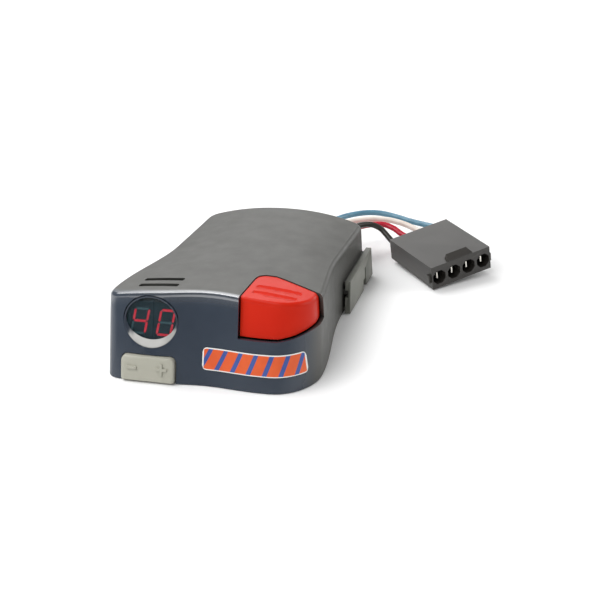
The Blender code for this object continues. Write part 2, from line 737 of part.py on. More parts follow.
def build_base():
    """Bottom plate with board posts, boards, electronics and screws."""
    anchor, heading = outline_rays(OUTLINE_POINTS)
    rings = []
    for z in PLATE_Z:
        spot = anchor + heading * cast(anchor, heading, z, WALL + GAP + 0.1)[:, None]
        rings.append(np.column_stack([spot, np.full(len(spot), z)]))
    plate = from_rings("base_plate", rings)
    cut(plate, block("key_room", (KEY_X[0] - 1.0, KEY_X[1] + 1.0), (-80.0, KEY_REAR_Y + 2.0), (0.0, 9.0)))
    for x, y in BOARD_POSTS:
        join(plate, rod("post", (x, y), POST_R, "z", PLATE_Z[1] - 0.5, BOARD_Z[0] - GAP, 12))
        cut(plate, rod("pilot", (x, y), 1.05, "z", 6.0, 15.0, 10))
    for x, y in CASE_BOSSES:
        cut(plate, rod("head_room", (x, y), 3.0, "z", 1.0, PLATE_Z[0] + 1.5, 14))
        cut(plate, rod("clearance", (x, y), 1.6, "z", 1.0, 8.0, 12))
    paint(plate, (0.05, 0.052, 0.05), 0.5)
    board = block("main_board", BOARD_X, BOARD_Y, BOARD_Z)
    for x, y in BOARD_POSTS:
        cut(board, rod("hole", (x, y), 1.3, "z", 5.0, 20.0, 10))
    paint(board, (0.02, 0.14, 0.06), 0.5)
    for number, (x, y) in enumerate(BOARD_POSTS, 1):
        seat = BOARD_Z[1] + GAP
        profile = [(1.0, seat - 5.9), (1.0, seat), (2.1, seat), (2.1, seat + 1.4)]
        screw = turned(f"board_screw_{number}", (x, y), profile, "z", 10)
        paint(screw, (0.6, 0.58, 0.5), 0.35, 1.0)
    for number, (x, y) in enumerate(CASE_BOSSES, 1):
        head = PLATE_Z[0] + 0.15
        profile = [(2.6, head), (2.6, head + 1.2), (1.2, head + 1.2), (1.2, 12.0)]
        screw = turned(f"case_screw_{number}", (x, y), profile, "z", 12)
        cross = block("cross", (x - 1.4, x + 1.4), (y - 0.3, y + 0.3), (0.0, head + 0.6))
        join(cross, block("cross", (x - 0.3, x + 0.3), (y - 1.4, y + 1.4), (0.0, head + 0.6)))
        cut(screw, cross)
        paint(screw, (0.1, 0.1, 0.1), 0.35, 1.0)
    top = BOARD_Z[1] + GAP
    chip = block("controller_chip", (-12.0, 2.0), (-18.0, -4.0), (top, top + 2.0))
    paint(chip, (0.03, 0.03, 0.03), 0.5)
    sink = block("heat_sink", SINK_X, SINK_Y, (top, top + 2.5))
    for k in range(SINK_FINS):
        x = SINK_X[0] + 1.0 + k * 5.0
        join(sink, block("fin", (x - 0.8, x + 0.8), SINK_Y, (top + 2.0, top + 12.0)))
    paint(sink, (0.5, 0.5, 0.52), 0.4, 1.0)
    transistor = block("output_transistor", (8.6, 13.6), (18.0, 28.0), (top, top + 15.0))
    paint(transistor, (0.03, 0.03, 0.03), 0.45)
    can = [(4.7, top), (5.0, top + 0.5), (5.0, top + 14.5), (4.5, top + 15.0)]
    capacitor = turned("supply_capacitor", CAN_AT, can, "z", 16)
    paint(capacitor, (0.03, 0.05, 0.14), 0.3)


def build_clip():
    """Quick-release clip: a base strap with two arms that ride on the case rails."""
    clip = block("mounting_clip", (-CLIP_OUTER_X, CLIP_OUTER_X), CLIP_BASE_Y, (0.0, CLIP_BASE))
    lean = CLIP_FRONT_RAKE * CLIP_TOP
    arm = [(CLIP_FRONT_FOOT, 0.0), (NOTCH_Y[0], 0.0), (NOTCH_Y[0], NOTCH_TOP), (SLIT_Y[0], NOTCH_TOP),
           (SLIT_Y[0], SLIT_TOP), (SLIT_Y[1], SLIT_TOP), (SLIT_Y[1], 0.6), (CLIP_REAR, 0.6),
           (CLIP_REAR - 1.4, CLIP_TOP), (CLIP_FRONT_FOOT + lean, CLIP_TOP)]
    for side in (-1.0, 1.0):
        x = sorted((side * (CLIP_OUTER_X - CLIP_ARM), side * CLIP_OUTER_X))
        join(clip, prism("arm", arm, "x", x[0], x[1]))
        channel = sorted((side * (CLIP_OUTER_X - CLIP_ARM - 1.0), side * (RAIL_OUT + GAP)))
        cut(clip, block("channel", channel, (10.0, 80.0), (RAIL_Z[0] - GAP, RAIL_Z[1] + GAP)))
    mid_y = sum(CLIP_BASE_Y) / 2.0
    for x in (-CLIP_SCREW_X, CLIP_SCREW_X):
        cut(clip, rod("screw_hole", (x, mid_y), CLIP_SCREW_R, "z", -1.0, 3.0, 16))
    paint(clip, (0.06, 0.062, 0.06), 0.5)
    pivot(clip, (0.0, mid_y, 0.0))


def plug_point(along, across, z):
    """Point on the plug: along its mating axis from its centre, across it, and up."""
    turn = Euler([math.radians(a) for a in PLUG_TURN], "XYZ").to_matrix()
    return tuple(turn @ Vector((along, across, z)) + Vector(PLUG_AT))


def plug_block(name, along, across, z):
    ring = [(along[0], across[0]), (along[1], across[0]), (along[1], across[1]), (along[0], across[1])]
    return from_rings(name, [[plug_point(a, b, level) for a, b in ring] for level in z])


def plug_rod(name, across, z, radius, along, count=8):
    rings = []
    for level in along:
        ring = []
        for k in range(count):
            turn = 2.0 * math.pi * (k + 0.5) / count
            ring.append(plug_point(level, across + radius * math.cos(turn), z + radius * math.sin(turn)))
        rings.append(ring)
    return from_rings(name, rings)


def socket_offsets():
    return [(k - 1.5) * SOCKET_PITCH for k in range(4)]


def latch_ramp(half_l):
    """Ramp on the plug's front edge, rising and narrowing towards the rear."""
    rear, front = half_l - LATCH_RUN[0], half_l - LATCH_RUN[1]
    low = PLUG_FRONT_HEIGHT - 1.0
    corners = [(rear, low, 0.0), (front, low, 0.0), (front, PLUG_FRONT_HEIGHT + LATCH_RISE[0], 0.0),
               (rear, PLUG_FRONT_HEIGHT + LATCH_RISE[1], LATCH_DRAW)]
    sides = []
    for side in (-1.0, 1.0):
        sides.append([plug_point(along, side * (LATCH_HALF - draw), z) for along, z, draw in corners])
    return from_rings("latch_ramp", sides)


def build_plug():
    """Flat four-way plug housing with blade terminals."""
    half_l, half_w = PLUG_LENGTH / 2.0, PLUG_WIDTH / 2.0
    body = [(-half_l, 0.0), (half_l, 0.0), (half_l, PLUG_FRONT_HEIGHT), (-half_l, PLUG_REAR_HEIGHT)]
    sides = [[plug_point(a, across, z) for a, z in body] for across in (-half_w, half_w)]
    plug = from_rings("plug_housing", sides)
    join(plug, latch_ramp(half_l))
    for side in (-1.0, 1.0):
        across = sorted((side * (half_w - 0.5), side * (half_w + 1.3)))
        rib_z = (SOCKET_Z - 2.4, SOCKET_Z + 2.0)
        join(plug, plug_block("side_rib", (half_l - 3.4, half_l - 1.2), across, rib_z))
    for offset in socket_offsets():
        cut(plug, plug_rod("socket", offset, SOCKET_Z, SOCKET_R, (half_l - SOCKET_DEPTH, half_l + 2.0)))
        cut(plug, plug_rod("core", offset, SOCKET_Z, WIRE_R + 0.55, (-half_l - 2.0, -half_l + 9.0), 12))
    paint(plug, (0.03, 0.03, 0.032), 0.4)
    for number, offset in enumerate(socket_offsets(), 1):
        thick, tall = BLADE_HALF
        blade = plug_block(f"plug_blade_{number}", (half_l - SOCKET_DEPTH + GAP, half_l - BLADE_FRONT),
                           (offset - thick, offset + thick), (SOCKET_Z - tall, SOCKET_Z + tall))
        paint(blade, (0.75, 0.7, 0.55), 0.3, 1.0)


def smooth_route(points, step):
    """Evenly spaced points along a Catmull-Rom curve through the route points."""
    fine = []
    padded = [2.0 * points[0] - points[1]] + points + [2.0 * points[-1] - points[-2]]
    for a, b, c, d in zip(padded, padded[1:], padded[2:], padded[3:]):
        for k in range(40):
            t = k / 40.0
            fine.append(0.5 * (2.0 * b + (c - a) * t + (2.0 * a - 5.0 * b + 4.0 * c - d) * t * t
                               + (3.0 * b - a - 3.0 * c + d) * t ** 3))
    fine.append(points[-1])
    fine = np.array(fine)
    length = np.concatenate([[0.0], np.cumsum(np.linalg.norm(np.diff(fine, axis=0), axis=1))])
    count = max(4, int(round(length[-1] / step)))
    marks = np.linspace(0.0, length[-1], count + 1)
    return np.stack([np.interp(marks, length, fine[:, k]) for k in range(3)], 1)


def wire(name, route, colour):
    curve = bpy.data.curves.new(name, "CURVE")
    curve.dimensions = "3D"
    curve.bevel_depth = WIRE_R * MM
    curve.bevel_resolution = 2
    curve.use_fill_caps = True
    points = smooth_route([np.array(p, float) for p in route], WIRE_STEP)
    line = curve.splines.new("POLY")
    line.points.add(len(points) - 1)
    for slot, spot in zip(line.points, place(points)):
        slot.co = (spot.x, spot.y, spot.z, 1.0)
    obj = bpy.data.objects.new(name, curve)
    bpy.context.scene.collection.objects.link(obj)
    curve.materials.append(surface(name, colour, 0.45))


def wire_routes():
    """Route points of each wire, from the grommet to the plug."""
    start_y = GROMMET_Y[1] + GAP
    entry = -PLUG_LENGTH / 2.0 - GAP
    offsets = socket_offsets()
    free = {
        "wire_blue": [(14.6, 93.5, 17.0), (20.4, 105.2, 16.8), (26.5, 112.9, 16.3), (33.1, 118.0, 15.7),
                      (40.2, 120.2, 14.9), (48.5, 119.2, 13.9), (57.0, 117.0, 12.8), (64.6, 115.4, 12.1)],
        "wire_white": [(20.2, 90.0, 17.7), (24.4, 96.2, 17.7), (29.4, 100.9, 17.4), (35.2, 105.3, 17.0),
                       (42.0, 108.8, 16.2), (49.2, 110.4, 15.0), (56.4, 110.0, 13.4), (61.4, 108.6, 12.0)],
        "wire_red": [(26.0, 88.6, 16.3), (29.4, 93.6, 15.7), (34.2, 98.7, 15.5), (39.6, 103.0, 15.2),
                     (45.3, 105.3, 14.6), (51.0, 104.8, 12.8), (54.8, 102.8, 11.2)],
        "wire_black": [(31.2, 87.0, 18.4), (33.6, 91.0, 18.7), (36.8, 94.7, 18.4), (40.6, 97.8, 17.2),
                       (44.8, 98.9, 14.9), (48.4, 97.6, 11.9)],
    }
    routes = {}
    for k, (name, middle) in enumerate(free.items()):
        offset = offsets[3 - k]
        start = [(EXIT_X[k], start_y, EXIT_Z), (EXIT_X[k], start_y + 5.0, EXIT_Z)]
        end = [plug_point(entry - 4.6, offset, SOCKET_Z), plug_point(entry, offset, SOCKET_Z)]
        routes[name] = start + middle + end
    return routes


def build_wiring():
    mid = (EXIT_X[0] + EXIT_X[-1]) / 2.0
    half_w, half_h = GROMMET_HALF
    grommet_z = (EXIT_Z - half_h, EXIT_Z + half_h)
    grommet = block("wire_grommet", (mid - half_w, mid + half_w), GROMMET_Y, grommet_z)
    soften(grommet, 1.0, 1)
    paint(grommet, (0.03, 0.03, 0.03), 0.6)
    colours = {"wire_blue": (0.10, 0.24, 0.33), "wire_white": (0.75, 0.70, 0.64),
               "wire_red": (0.42, 0.015, 0.03), "wire_black": (0.03, 0.028, 0.024)}
    for name, route in wire_routes().items():
        wire(name, route, colours[name])


def main():
    clear_scene()
    build_housing()
    build_decal()
    board_depth = build_display()
    build_key(board_depth)
    build_override()
    build_base()
    build_clip()
    build_plug()
    build_wiring()


main()
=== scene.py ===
"""Finished look of the trailer brake controller unit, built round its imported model."""
import math

import bmesh
import bpy
import numpy as np
from mathutils import Euler, Matrix, Vector


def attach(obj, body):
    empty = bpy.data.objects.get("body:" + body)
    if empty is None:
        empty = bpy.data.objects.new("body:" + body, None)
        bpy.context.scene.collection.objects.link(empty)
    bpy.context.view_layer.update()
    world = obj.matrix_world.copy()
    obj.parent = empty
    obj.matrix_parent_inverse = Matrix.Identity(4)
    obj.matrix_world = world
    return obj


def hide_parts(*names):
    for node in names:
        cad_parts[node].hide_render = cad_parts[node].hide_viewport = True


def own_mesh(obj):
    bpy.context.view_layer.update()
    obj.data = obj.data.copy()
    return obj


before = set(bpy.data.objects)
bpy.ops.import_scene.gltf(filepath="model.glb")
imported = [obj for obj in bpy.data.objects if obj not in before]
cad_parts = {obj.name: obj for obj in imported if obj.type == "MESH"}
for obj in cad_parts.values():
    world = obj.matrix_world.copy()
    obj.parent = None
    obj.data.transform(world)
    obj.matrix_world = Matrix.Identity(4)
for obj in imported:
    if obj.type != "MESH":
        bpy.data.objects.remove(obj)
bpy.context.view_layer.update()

MM = 0.001

# ---- dimensions (millimetres) ----
Y_DATUM = -5.77  # moves the case so that its box is centred on the origin
FRONT_HALF_WIDTH = 50.2
WAIST_HALF_WIDTH = 42.9
TAPER_START = -44.0
TAPER_END = 20.0
REAR_TAPER = 0.012
SIDE_DRAFT = 0.006
FRONT_FOOT = -65.3
FRONT_RAKE = 0.274
FRONT_DIP = 1.7
DIP_HALF_SPAN = 26.0
FRONT_END_CURVE = 0.003
REAR_BULGE_Y = 76.0
REAR_BULGE = 5.0
LEFT_CORNER_R = 6.0
RIGHT_CORNER_R = 19.0
REAR_CORNER_R = 4.0
TOP_FRONT_HEIGHT = 42.0
TOP_SLOPE = 0.0675
TOP_FRONT_Y = -50.0
CROWN_FRONT = 4.0
CROWN_REAR = 5.9
CROWN_RUN = 75.0
CROWN_POWER = 2.2
EDGE_R = 2.5
WALL = 1.9
GAP = 0.3

# vents, and the spine that the rings of the shells are drawn from
VENT_X = (-36.5, -17.3)
VENT_Y = (-36.7, -44.4)
VENT_HALF = 1.7
SPINE_FRONT = -15.0
SPINE_REAR = 45.0
OUTLINE_POINTS = 216
WALL_STEPS = 10

# display
WINDOW_X = -27.3
WINDOW_FRONT = (27.45, 12.75, 11.3)  # centre height, half width, half height at the face
WINDOW_REAR = (28.9, 12.45, 9.85)  # the same at the pane
WINDOW_POINTS = 96
PANE_DEPTH = 1.7
PANE_THICK = 1.2
PANE_LIP = 0.5
BEZEL_WALL = 0.5
BEZEL_PROUD = 0.1
CUTTER_REACH = 1.6
CUTTER_PLAY = 0.2  # the face falls away from the flat pane towards its ends
DIGIT_X = (-33.4, -20.7)
DIGIT_Z = 26.45

# striped band
DECAL_X = (-2.0, 46.8)
DECAL_Z = (7.5, 17.5)
DECAL_LIFT = 0.25
DECAL_THICK = 0.3

# adjusting key
KEY_X = (-41.4, -14.9)
KEY_MID = sum(KEY_X) / 2.0
KEY_Z = (0.5, 12.0)
KEY_PROUD = 2.0
KEY_REAR_Y = -57.3
KEY_GAP = 0.45
KEY_TOP_R = 2.8
KEY_FOOT_R = 1.0
KEY_LUG_HALF = 2.6
KEY_LUG_Y = (-60.2, -56.2)
KEY_LUG_TOP = 14.4
MARK_Z = 7.0
MARKS = ((-35.9, 5.2, 1.2, 0.35), (-21.0, 5.6, 1.2, 0.3), (-21.0, 1.2, 5.4, 0.35))

# manual override
OVERRIDE_LEFT = 15.2
OVERRIDE_FLOOR = ((34.0, 23.0), (41.0, 23.9), (47.0, 25.2))
OVERRIDE_REAR = ((16.0, -24.6), (18.6, -22.4), (24.0, -22.0), (38.5, -28.3), (47.5, -32.2))
OVERRIDE_INSET = WALL + GAP
OVERRIDE_WALL = 1.8
PIVOT_Y = -26.0
PIVOT_Z = 31.0
PIN_R = 1.2
RUNNING = 0.06
OVERRIDE_LID = 0.45  # step from the case top down to the button
LUGS = ((11.6, 13.8, -30.0, -21.0), (42.0, 44.0, -28.6, -22.0))
GROOVES = 2
GROOVE_START = -36.0
GROOVE_PITCH = 7.4
GROOVE_X = (19.6, 39.4)
GROOVE_SKEW = 0.7
GROOVE_DEPTH = 0.6
GROOVE_FLOOR = 0.7
GROOVE_SLOPE = 1.4
GROOVE_REACH = 2.0
SPRING_AT = (27.0, -42.0)
SPRING_R = 2.8
SPRING_WIRE = 0.35
SPRING_TURNS = 6
SPRING_STEPS = 28  # per turn
SPRING_SIDES = 10
FACET_SAG = 0.2  # how far a facet may dip below the curved roof it follows

# clip
CLIP_OUTER_X = 46.9
CLIP_ARM = 2.9
CLIP_TOP = 16.5
CLIP_BASE = 1.8
CLIP_FRONT_FOOT = 22.6
CLIP_FRONT_RAKE = 0.18
CLIP_REAR = 70.6
CLIP_BASE_Y = (26.0, 50.0)
NOTCH_Y = (51.3, 57.0)
NOTCH_TOP = 5.5
SLIT_Y = (54.6, 57.0)
SLIT_TOP = 11.0
RAIL_Y = (27.0, 66.0)
RAIL_Z = (8.6, 11.4)
RAIL_IN = 41.6
RAIL_OUT = 45.3
RIB_OUT = 43.6
RIB_Z = (13.9, 15.6)
CLIP_SCREW_X = 24.0
CLIP_SCREW_R = 2.2

# main board, which the spring stands on
BOARD_Z = (11.0, 12.6)

# wiring
WIRE_R = 1.55
WIRE_STEP = 2.0
EXIT_X = (13.0, 18.6, 24.2, 29.8)
EXIT_Z = 17.0
GROMMET_HALF = (12.4, 4.6)
GROMMET_Y = (69.5, 78.0)
PLUG_AT = (80.5, 85.4, 3.35)  # middle of its underside
PLUG_TURN = (6.5, 2.65, -46.9)  # roll, pitch and yaw in degrees
PLUG_WIDTH = 35.6
PLUG_LENGTH = 42.6
PLUG_FRONT_HEIGHT = 12.7
PLUG_REAR_HEIGHT = 11.4
SOCKET_PITCH = 8.9
SOCKET_R = 4.0
SOCKET_DEPTH = 16.0
SOCKET_Z = 5.9
LATCH_HALF = 7.5
LATCH_RISE = (0.4, 2.3)
LATCH_RUN = (4.2, 0.15)
LATCH_DRAW = 1.35  # how much narrower the rear of the ramp is, each side

# display segments: their ends as shares of the half width and half height
SEGMENTS = {
    "a": ((-1, 1), (1, 1)), "b": ((1, 1), (1, 0)), "c": ((1, 0), (1, -1)), "d": ((-1, -1), (1, -1)),
    "e": ((-1, 0), (-1, -1)), "f": ((-1, 1), (-1, 0)), "g": ((-1, 0), (1, 0)),
}
SEGMENT_HALF_W = 3.35
SEGMENT_HALF_H = 5.65
SEGMENT_R = 0.5
SEGMENT_GAP = 0.25
SEGMENT_DEPTHS = (0.22, 0.02)  # front and back of a segment, ahead of the digit body
SLANT = math.tan(math.radians(11.5))
DIGITS = (("digit_tens", DIGIT_X[0], "fgbc"), ("digit_units", DIGIT_X[1], "abcdef"))

# fineness of the shells and of the key's corners
ARC_STEPS = 9
TOP_STEPS = 12
INNER_ARC_STEPS = 2
INNER_TOP_STEPS = 4

# front: smoother and glossier, with painted shade and a painted bluish reflection
FACING_REACH = 0.4  # half the span over which the wall's heading is measured
GLOSS_FACE = 0.06  # share of the gloss left on the flat of the front
SHEEN_LEFT = 0.4  # share of the gloss at the left end of the front edge

# fineness, corners and stripes of the band
BAND_COLUMNS = 97
BAND_ROWS = 13
BAND_CORNER = 2.0
BAND_RIM = 0.75
BAND_LEFT_Y = -64.0
BAND_RIGHT_Y = -53.5
STRIPE_SLANT = -0.55
STRIPE_OFFSET = 20.0
STRIPE_PERIOD = 7.6
STRIPE_EDGE = (5.2, 5.5)

# painted highlight on the lower slope of the display surround
LIP_LEVEL = 3.6  # how far below the window's centre the pale slope starts
LIP_LEAN = 0.15
LIP_SOFT = 1.6

# ---- finishes: linear colours, each as a darker and a lighter tone ----
SHELL_TONES = ((0.056, 0.056, 0.0505), (0.068, 0.068, 0.0615))
# painted shade: the front's tones are the charcoal darkened, with a painted bluish reflection
FRONT_SHADE_TONES = ((0.021, 0.031, 0.048), (0.028, 0.040, 0.060))
# painted shade: near-black for the inside of the case and its openings
RECESS_SHADE_TONES = ((0.006, 0.006, 0.007), (0.010, 0.010, 0.011))
# painted shade: the surround is painted in the dark tones of the front
SURROUND_SHADE_TONES = ((0.022, 0.031, 0.047), (0.029, 0.039, 0.058))
# painted highlight on the lower slope of the surround
LIP_HIGHLIGHT_TONES = ((0.34, 0.34, 0.325), (0.46, 0.46, 0.44))
PANE_TONES = ((0.016, 0.036, 0.048), (0.024, 0.048, 0.062))
LIT_TONES = ((0.62, 0.012, 0.028), (0.80, 0.030, 0.050))
UNLIT_TONES = ((0.085, 0.185, 0.205), (0.115, 0.230, 0.250))
ORANGE_TONES = ((0.64, 0.09, 0.018), (0.72, 0.11, 0.02))
BLUE_TONES = ((0.03, 0.07, 0.27), (0.045, 0.10, 0.34))
RIM_COLOUR = (0.78, 0.78, 0.75)
BUTTON_TONES = ((0.50, 0.012, 0.003), (0.56, 0.017, 0.004))
KEY_TONES = ((0.37, 0.365, 0.305), (0.42, 0.413, 0.352))
CLIP_TONES = ((0.104, 0.107, 0.090), (0.128, 0.130, 0.112))
PLUG_TONES = ((0.020, 0.018, 0.0155), (0.027, 0.0245, 0.0215))
GROMMET_TONES = ((0.028, 0.028, 0.027), (0.038, 0.038, 0.036))
BOARD_TONES = ((0.012, 0.10, 0.045), (0.020, 0.14, 0.062))
BLACK_TONES = ((0.024, 0.024, 0.024), (0.035, 0.035, 0.034))
PLATE_TONES = ((0.044, 0.046, 0.044), (0.058, 0.060, 0.057))
DIGIT_TONES = ((0.012, 0.022, 0.026), (0.017, 0.029, 0.034))
CAN_TONES = ((0.022, 0.036, 0.12), (0.032, 0.05, 0.155))
SENSOR_TONES = ((0.035, 0.075, 0.18), (0.048, 0.095, 0.22))
FLOOR_TONES = ((0.90, 0.90, 0.90), (0.92, 0.92, 0.92))
STEEL = (0.62, 0.61, 0.58)
BLACK_STEEL = (0.16, 0.16, 0.16)
TINNED = (0.88, 0.85, 0.78)
ALUMINIUM = (0.72, 0.73, 0.75)
WIRE_TONES = {
    "wire_blue": ((0.075, 0.185, 0.265), (0.11, 0.25, 0.34)),
    "wire_white": ((0.74, 0.66, 0.59), (0.82, 0.75, 0.69)),
    "wire_red": ((0.42, 0.010, 0.028), (0.52, 0.018, 0.040)),
    "wire_black": ((0.022, 0.020, 0.017), (0.034, 0.031, 0.027)),
}
PANE_ALPHA = 0.34
EDGE_COAT_IOR = 2.3
EDGE_COAT_ROUGHNESS = 0.13

# ---- studio: metres, degrees and watts ----
CAMERA_ANGLES = (17.33, 25.34, -2.84)  # turn, tilt and roll
CAMERA_LENS = 91.596  # millimetres on a 36 mm wide sensor
CAMERA_AT = (229.0, -644.6, 336.5)  # design millimetres
FLOOR_HALF = 8.0
FLOOR_DROP = 0.0004
LIGHTS = (  # name, place, target, size, power
    ("overhead", (-0.40, 0.25, 0.85), (0.0, 0.0, 0.0), (0.7, 0.6), 6.2),
    ("rear_left", (-0.35, 1.0, 0.50), (0.0, 0.0, 0.02), (0.8, 0.45), 2.2),
    ("edge_strip", (-0.22, -0.40, 0.55), (0.0, -0.06, 0.038), (0.9, 0.24), 3.9),
    ("right_fill", (0.95, 0.30, 0.40), (0.0, 0.0, 0.02), (0.4, 0.5), 3.2),
    ("rear_right", (0.50, 0.95, 0.28), (0.05, 0.0, 0.03), (0.4, 0.3), 1.4),
)
WORLD_STRENGTH = 0.30


def smoothstep(t):
    t = np.clip(t, 0.0, 1.0)
    return t * t * (3.0 - 2.0 * t)


def half_width(y, z):
    """Half width of the case: broad at the front, waisted behind."""
    share = smoothstep((y - TAPER_START) / (TAPER_END - TAPER_START))
    width = FRONT_HALF_WIDTH + (WAIST_HALF_WIDTH - FRONT_HALF_WIDTH) * share
    return width - REAR_TAPER * np.maximum(y - TAPER_END, 0.0) - SIDE_DRAFT * z


def front_y(x, z):
    """Raked front face with two shallow lobes."""
    dip = FRONT_DIP * (1.0 + np.cos(np.pi * np.clip(x / DIP_HALF_SPAN, -1.0, 1.0))) / 2.0
    ends = FRONT_END_CURVE * np.maximum(np.abs(x) - 25.0, 0.0) ** 2
    return FRONT_FOOT + FRONT_RAKE * z + dip * (1.0 + z / 60.0) + ends


def rear_y(x):
    return REAR_BULGE_Y - REAR_BULGE * (x / WAIST_HALF_WIDTH) ** 2


def rounded_max(a, b, r):
    corner = np.hypot(np.maximum(a + r, 0.0), np.maximum(b + r, 0.0)) - r
    return np.where((a > -r) & (b > -r), corner, np.maximum(a, b))


def plan_distance(x, y, z):
    """Signed distance to the case wall in plan, negative inside."""
    front = (front_y(x, z) - y) * 0.97
    rear = y - rear_y(x)
    side = half_width(y, z)
    left = -x - side
    right = x - side
    return np.maximum.reduce([
        rounded_max(front, left, LEFT_CORNER_R), rounded_max(front, right, RIGHT_CORNER_R),
        rounded_max(rear, left, REAR_CORNER_R), rounded_max(rear, right, REAR_CORNER_R)])


def top_z(x, y):
    """Crowned top of the case, falling towards the rear."""
    centre = TOP_FRONT_HEIGHT - TOP_SLOPE * (y - TOP_FRONT_Y)
    crown = CROWN_FRONT + (CROWN_REAR - CROWN_FRONT) * smoothstep((y - TOP_FRONT_Y) / CROWN_RUN)
    return centre - crown * np.minimum(np.abs(x) / half_width(y, 0.0), 1.1) ** CROWN_POWER


def cast(anchor, heading, z, offset):
    """Points where the plan rays from their anchors meet the wall moved in by offset."""
    low = np.zeros(len(anchor))
    high = np.full(len(anchor), 95.0)
    for _ in range(34):
        mid = (low + high) / 2.0
        spot = anchor + heading * mid[:, None]
        outside = plan_distance(spot[:, 0], spot[:, 1], z) > -offset
        high = np.where(outside, mid, high)
        low = np.where(outside, low, mid)
    return anchor + heading * low[:, None]


def outline_rays(count):
    """Plan rays from the spine of the case, closer together where the outline turns."""
    fine = 1600
    front_fan = np.radians(np.linspace(180.0, 360.0, fine, endpoint=False))
    rear_fan = np.radians(np.linspace(0.0, 180.0, fine, endpoint=False))
    along = np.linspace(SPINE_FRONT, SPINE_REAR, fine // 2, endpoint=False)
    front_end, rear_end = np.full(fine, SPINE_FRONT), np.full(fine, SPINE_REAR)
    anchor_y = np.concatenate([front_end, along, rear_end, along[::-1]])
    angle = np.concatenate([front_fan, np.zeros(fine // 2), rear_fan, np.full(fine // 2, np.pi)])
    anchor = np.stack([np.zeros(len(angle)), anchor_y], 1)
    heading = np.stack([np.cos(angle), np.sin(angle)], 1)
    edge = cast(anchor, heading, 15.0, 0.0)
    step = np.roll(edge, -1, 0) - edge
    length = np.hypot(step[:, 0], step[:, 1])
    turn = np.arctan2(step[:, 1], step[:, 0])
    bend = np.abs((np.roll(turn, -1) - turn + np.pi) % (2.0 * np.pi) - np.pi)
    weight = np.cumsum(length + 28.0 * np.minimum(bend, 0.2))
    picks = np.searchsorted(weight, np.arange(count) * weight[-1] / count)
    return anchor[picks], heading[picks]


def shell_rings(count, offset, lift, edge_r, arc_steps, top_steps, foot):
    """Rings from the foot of the wall, over the rounded edge, to near the spine."""
    anchor, heading = outline_rays(count)
    tip = cast(anchor, heading, 34.0, offset + edge_r)
    rim = top_z(tip[:, 0], tip[:, 1]) - lift
    rings = []
    for share in np.linspace(0.0, 1.0, WALL_STEPS + 1):
        height = foot + (rim - edge_r - foot) * share
        spot = cast(anchor, heading, height, offset)
        rings.append(np.column_stack([spot, height]))
    wall = rings[-1][:, :2]
    for k in range(1, arc_steps + 1):
        turn = math.pi / 2.0 * k / arc_steps
        spot = wall + (tip - wall) * (1.0 - math.cos(turn))
        rings.append(np.column_stack([spot, rim - edge_r + edge_r * math.sin(turn)]))
    for k in range(1, top_steps + 1):
        share = 1.0 - 0.9 * k / top_steps
        spot = anchor + (tip - anchor) * share
        rings.append(np.column_stack([spot, top_z(spot[:, 0], spot[:, 1]) - lift]))
    return rings


def place(points):
    """Design millimetres to scene metres."""
    return [Vector((p[0] * MM, (p[1] + Y_DATUM) * MM, p[2] * MM)) for p in points]


def add_object(name, data):
    obj = bpy.data.objects.new(name, data)
    bpy.context.scene.collection.objects.link(obj)
    return obj


def mesh_object(name, points, faces):
    mesh = bpy.data.meshes.new(name)
    bm = bmesh.new()
    verts = [bm.verts.new(p) for p in place(points)]
    for face in faces:
        bm.faces.new([verts[i] for i in face])
    bmesh.ops.recalc_face_normals(bm, faces=bm.faces[:])
    bmesh.ops.triangulate(bm, faces=bm.faces[:])
    bm.to_mesh(mesh)
    bm.free()
    return add_object(name, mesh)


def from_rings(name, rings, looped=False):
    """Closed body through equal rings: capped at both ends, or looped back to the first."""
    count, total = len(rings[0]), len(rings)
    points = [tuple(p) for ring in rings for p in ring]
    faces = []
    if not looped:
        faces += [list(range(count)), list(range(count * (total - 1), count * total))]
    for k in range(total if looped else total - 1):
        base, above = k * count, (k + 1) % total * count
        for i in range(count):
            j = (i + 1) % count
            faces.append([base + i, base + j, above + j, above + i])
    return mesh_object(name, points, faces)


def prism(name, outline, axis, low, high):
    """Outline in the plane across an axis, drawn out along that axis."""
    def spot(pair, level):
        values = list(pair)
        values.insert("xyz".index(axis), level)
        return tuple(values)
    return from_rings(name, [[spot(p, level) for p in outline] for level in (low, high)])


def rectangle(x, y):
    return [(x[0], y[0]), (x[1], y[0]), (x[1], y[1]), (x[0], y[1])]


def block(name, x, y, z):
    return prism(name, rectangle(x, y), "z", *z)


def ring_points(centre, radius, count):
    angles = [2.0 * math.pi * k / count for k in range(count)]
    return [(centre[0] + radius * math.cos(a), centre[1] + radius * math.sin(a)) for a in angles]


def rod(name, centre, radius, axis, low, high, count):
    return prism(name, ring_points(centre, radius, count), axis, low, high)


def combine(obj, tool, operation):
    """Exact Boolean, applied at once; the tool is removed."""
    step = obj.modifiers.new("cut", "BOOLEAN")
    step.object = tool
    step.operation = operation
    step.solver = "EXACT"
    graph = bpy.context.evaluated_depsgraph_get()
    result = bpy.data.meshes.new_from_object(obj.evaluated_get(graph))
    obj.modifiers.clear()
    obj.data = result
    bpy.data.objects.remove(tool)


def cut(obj, *tools):
    for tool in tools:
        combine(obj, tool, "DIFFERENCE")


def join(obj, *tools):
    for tool in tools:
        combine(obj, tool, "UNION")


def window_ellipse(spec, grow, level):
    """Window outline, at a depth given by a function of x and z."""
    points = []
    for x, z in ring_points((WINDOW_X, spec[0]), 1.0, WINDOW_POINTS):
        px = WINDOW_X + (x - WINDOW_X) * (spec[1] + grow)
        pz = spec[0] + (z - spec[0]) * (spec[2] + grow)
        points.append((px, level(px, pz), pz))
    return points


def face_level(proud):
    """Level a given height proud of the moulded front face."""
    return lambda x, z: float(front_y(x, z)) - proud


def raked_level(depth):
    """Flat level behind the front face, parallel to its rake."""
    return lambda x, z: FRONT_FOOT + FRONT_RAKE * z + depth


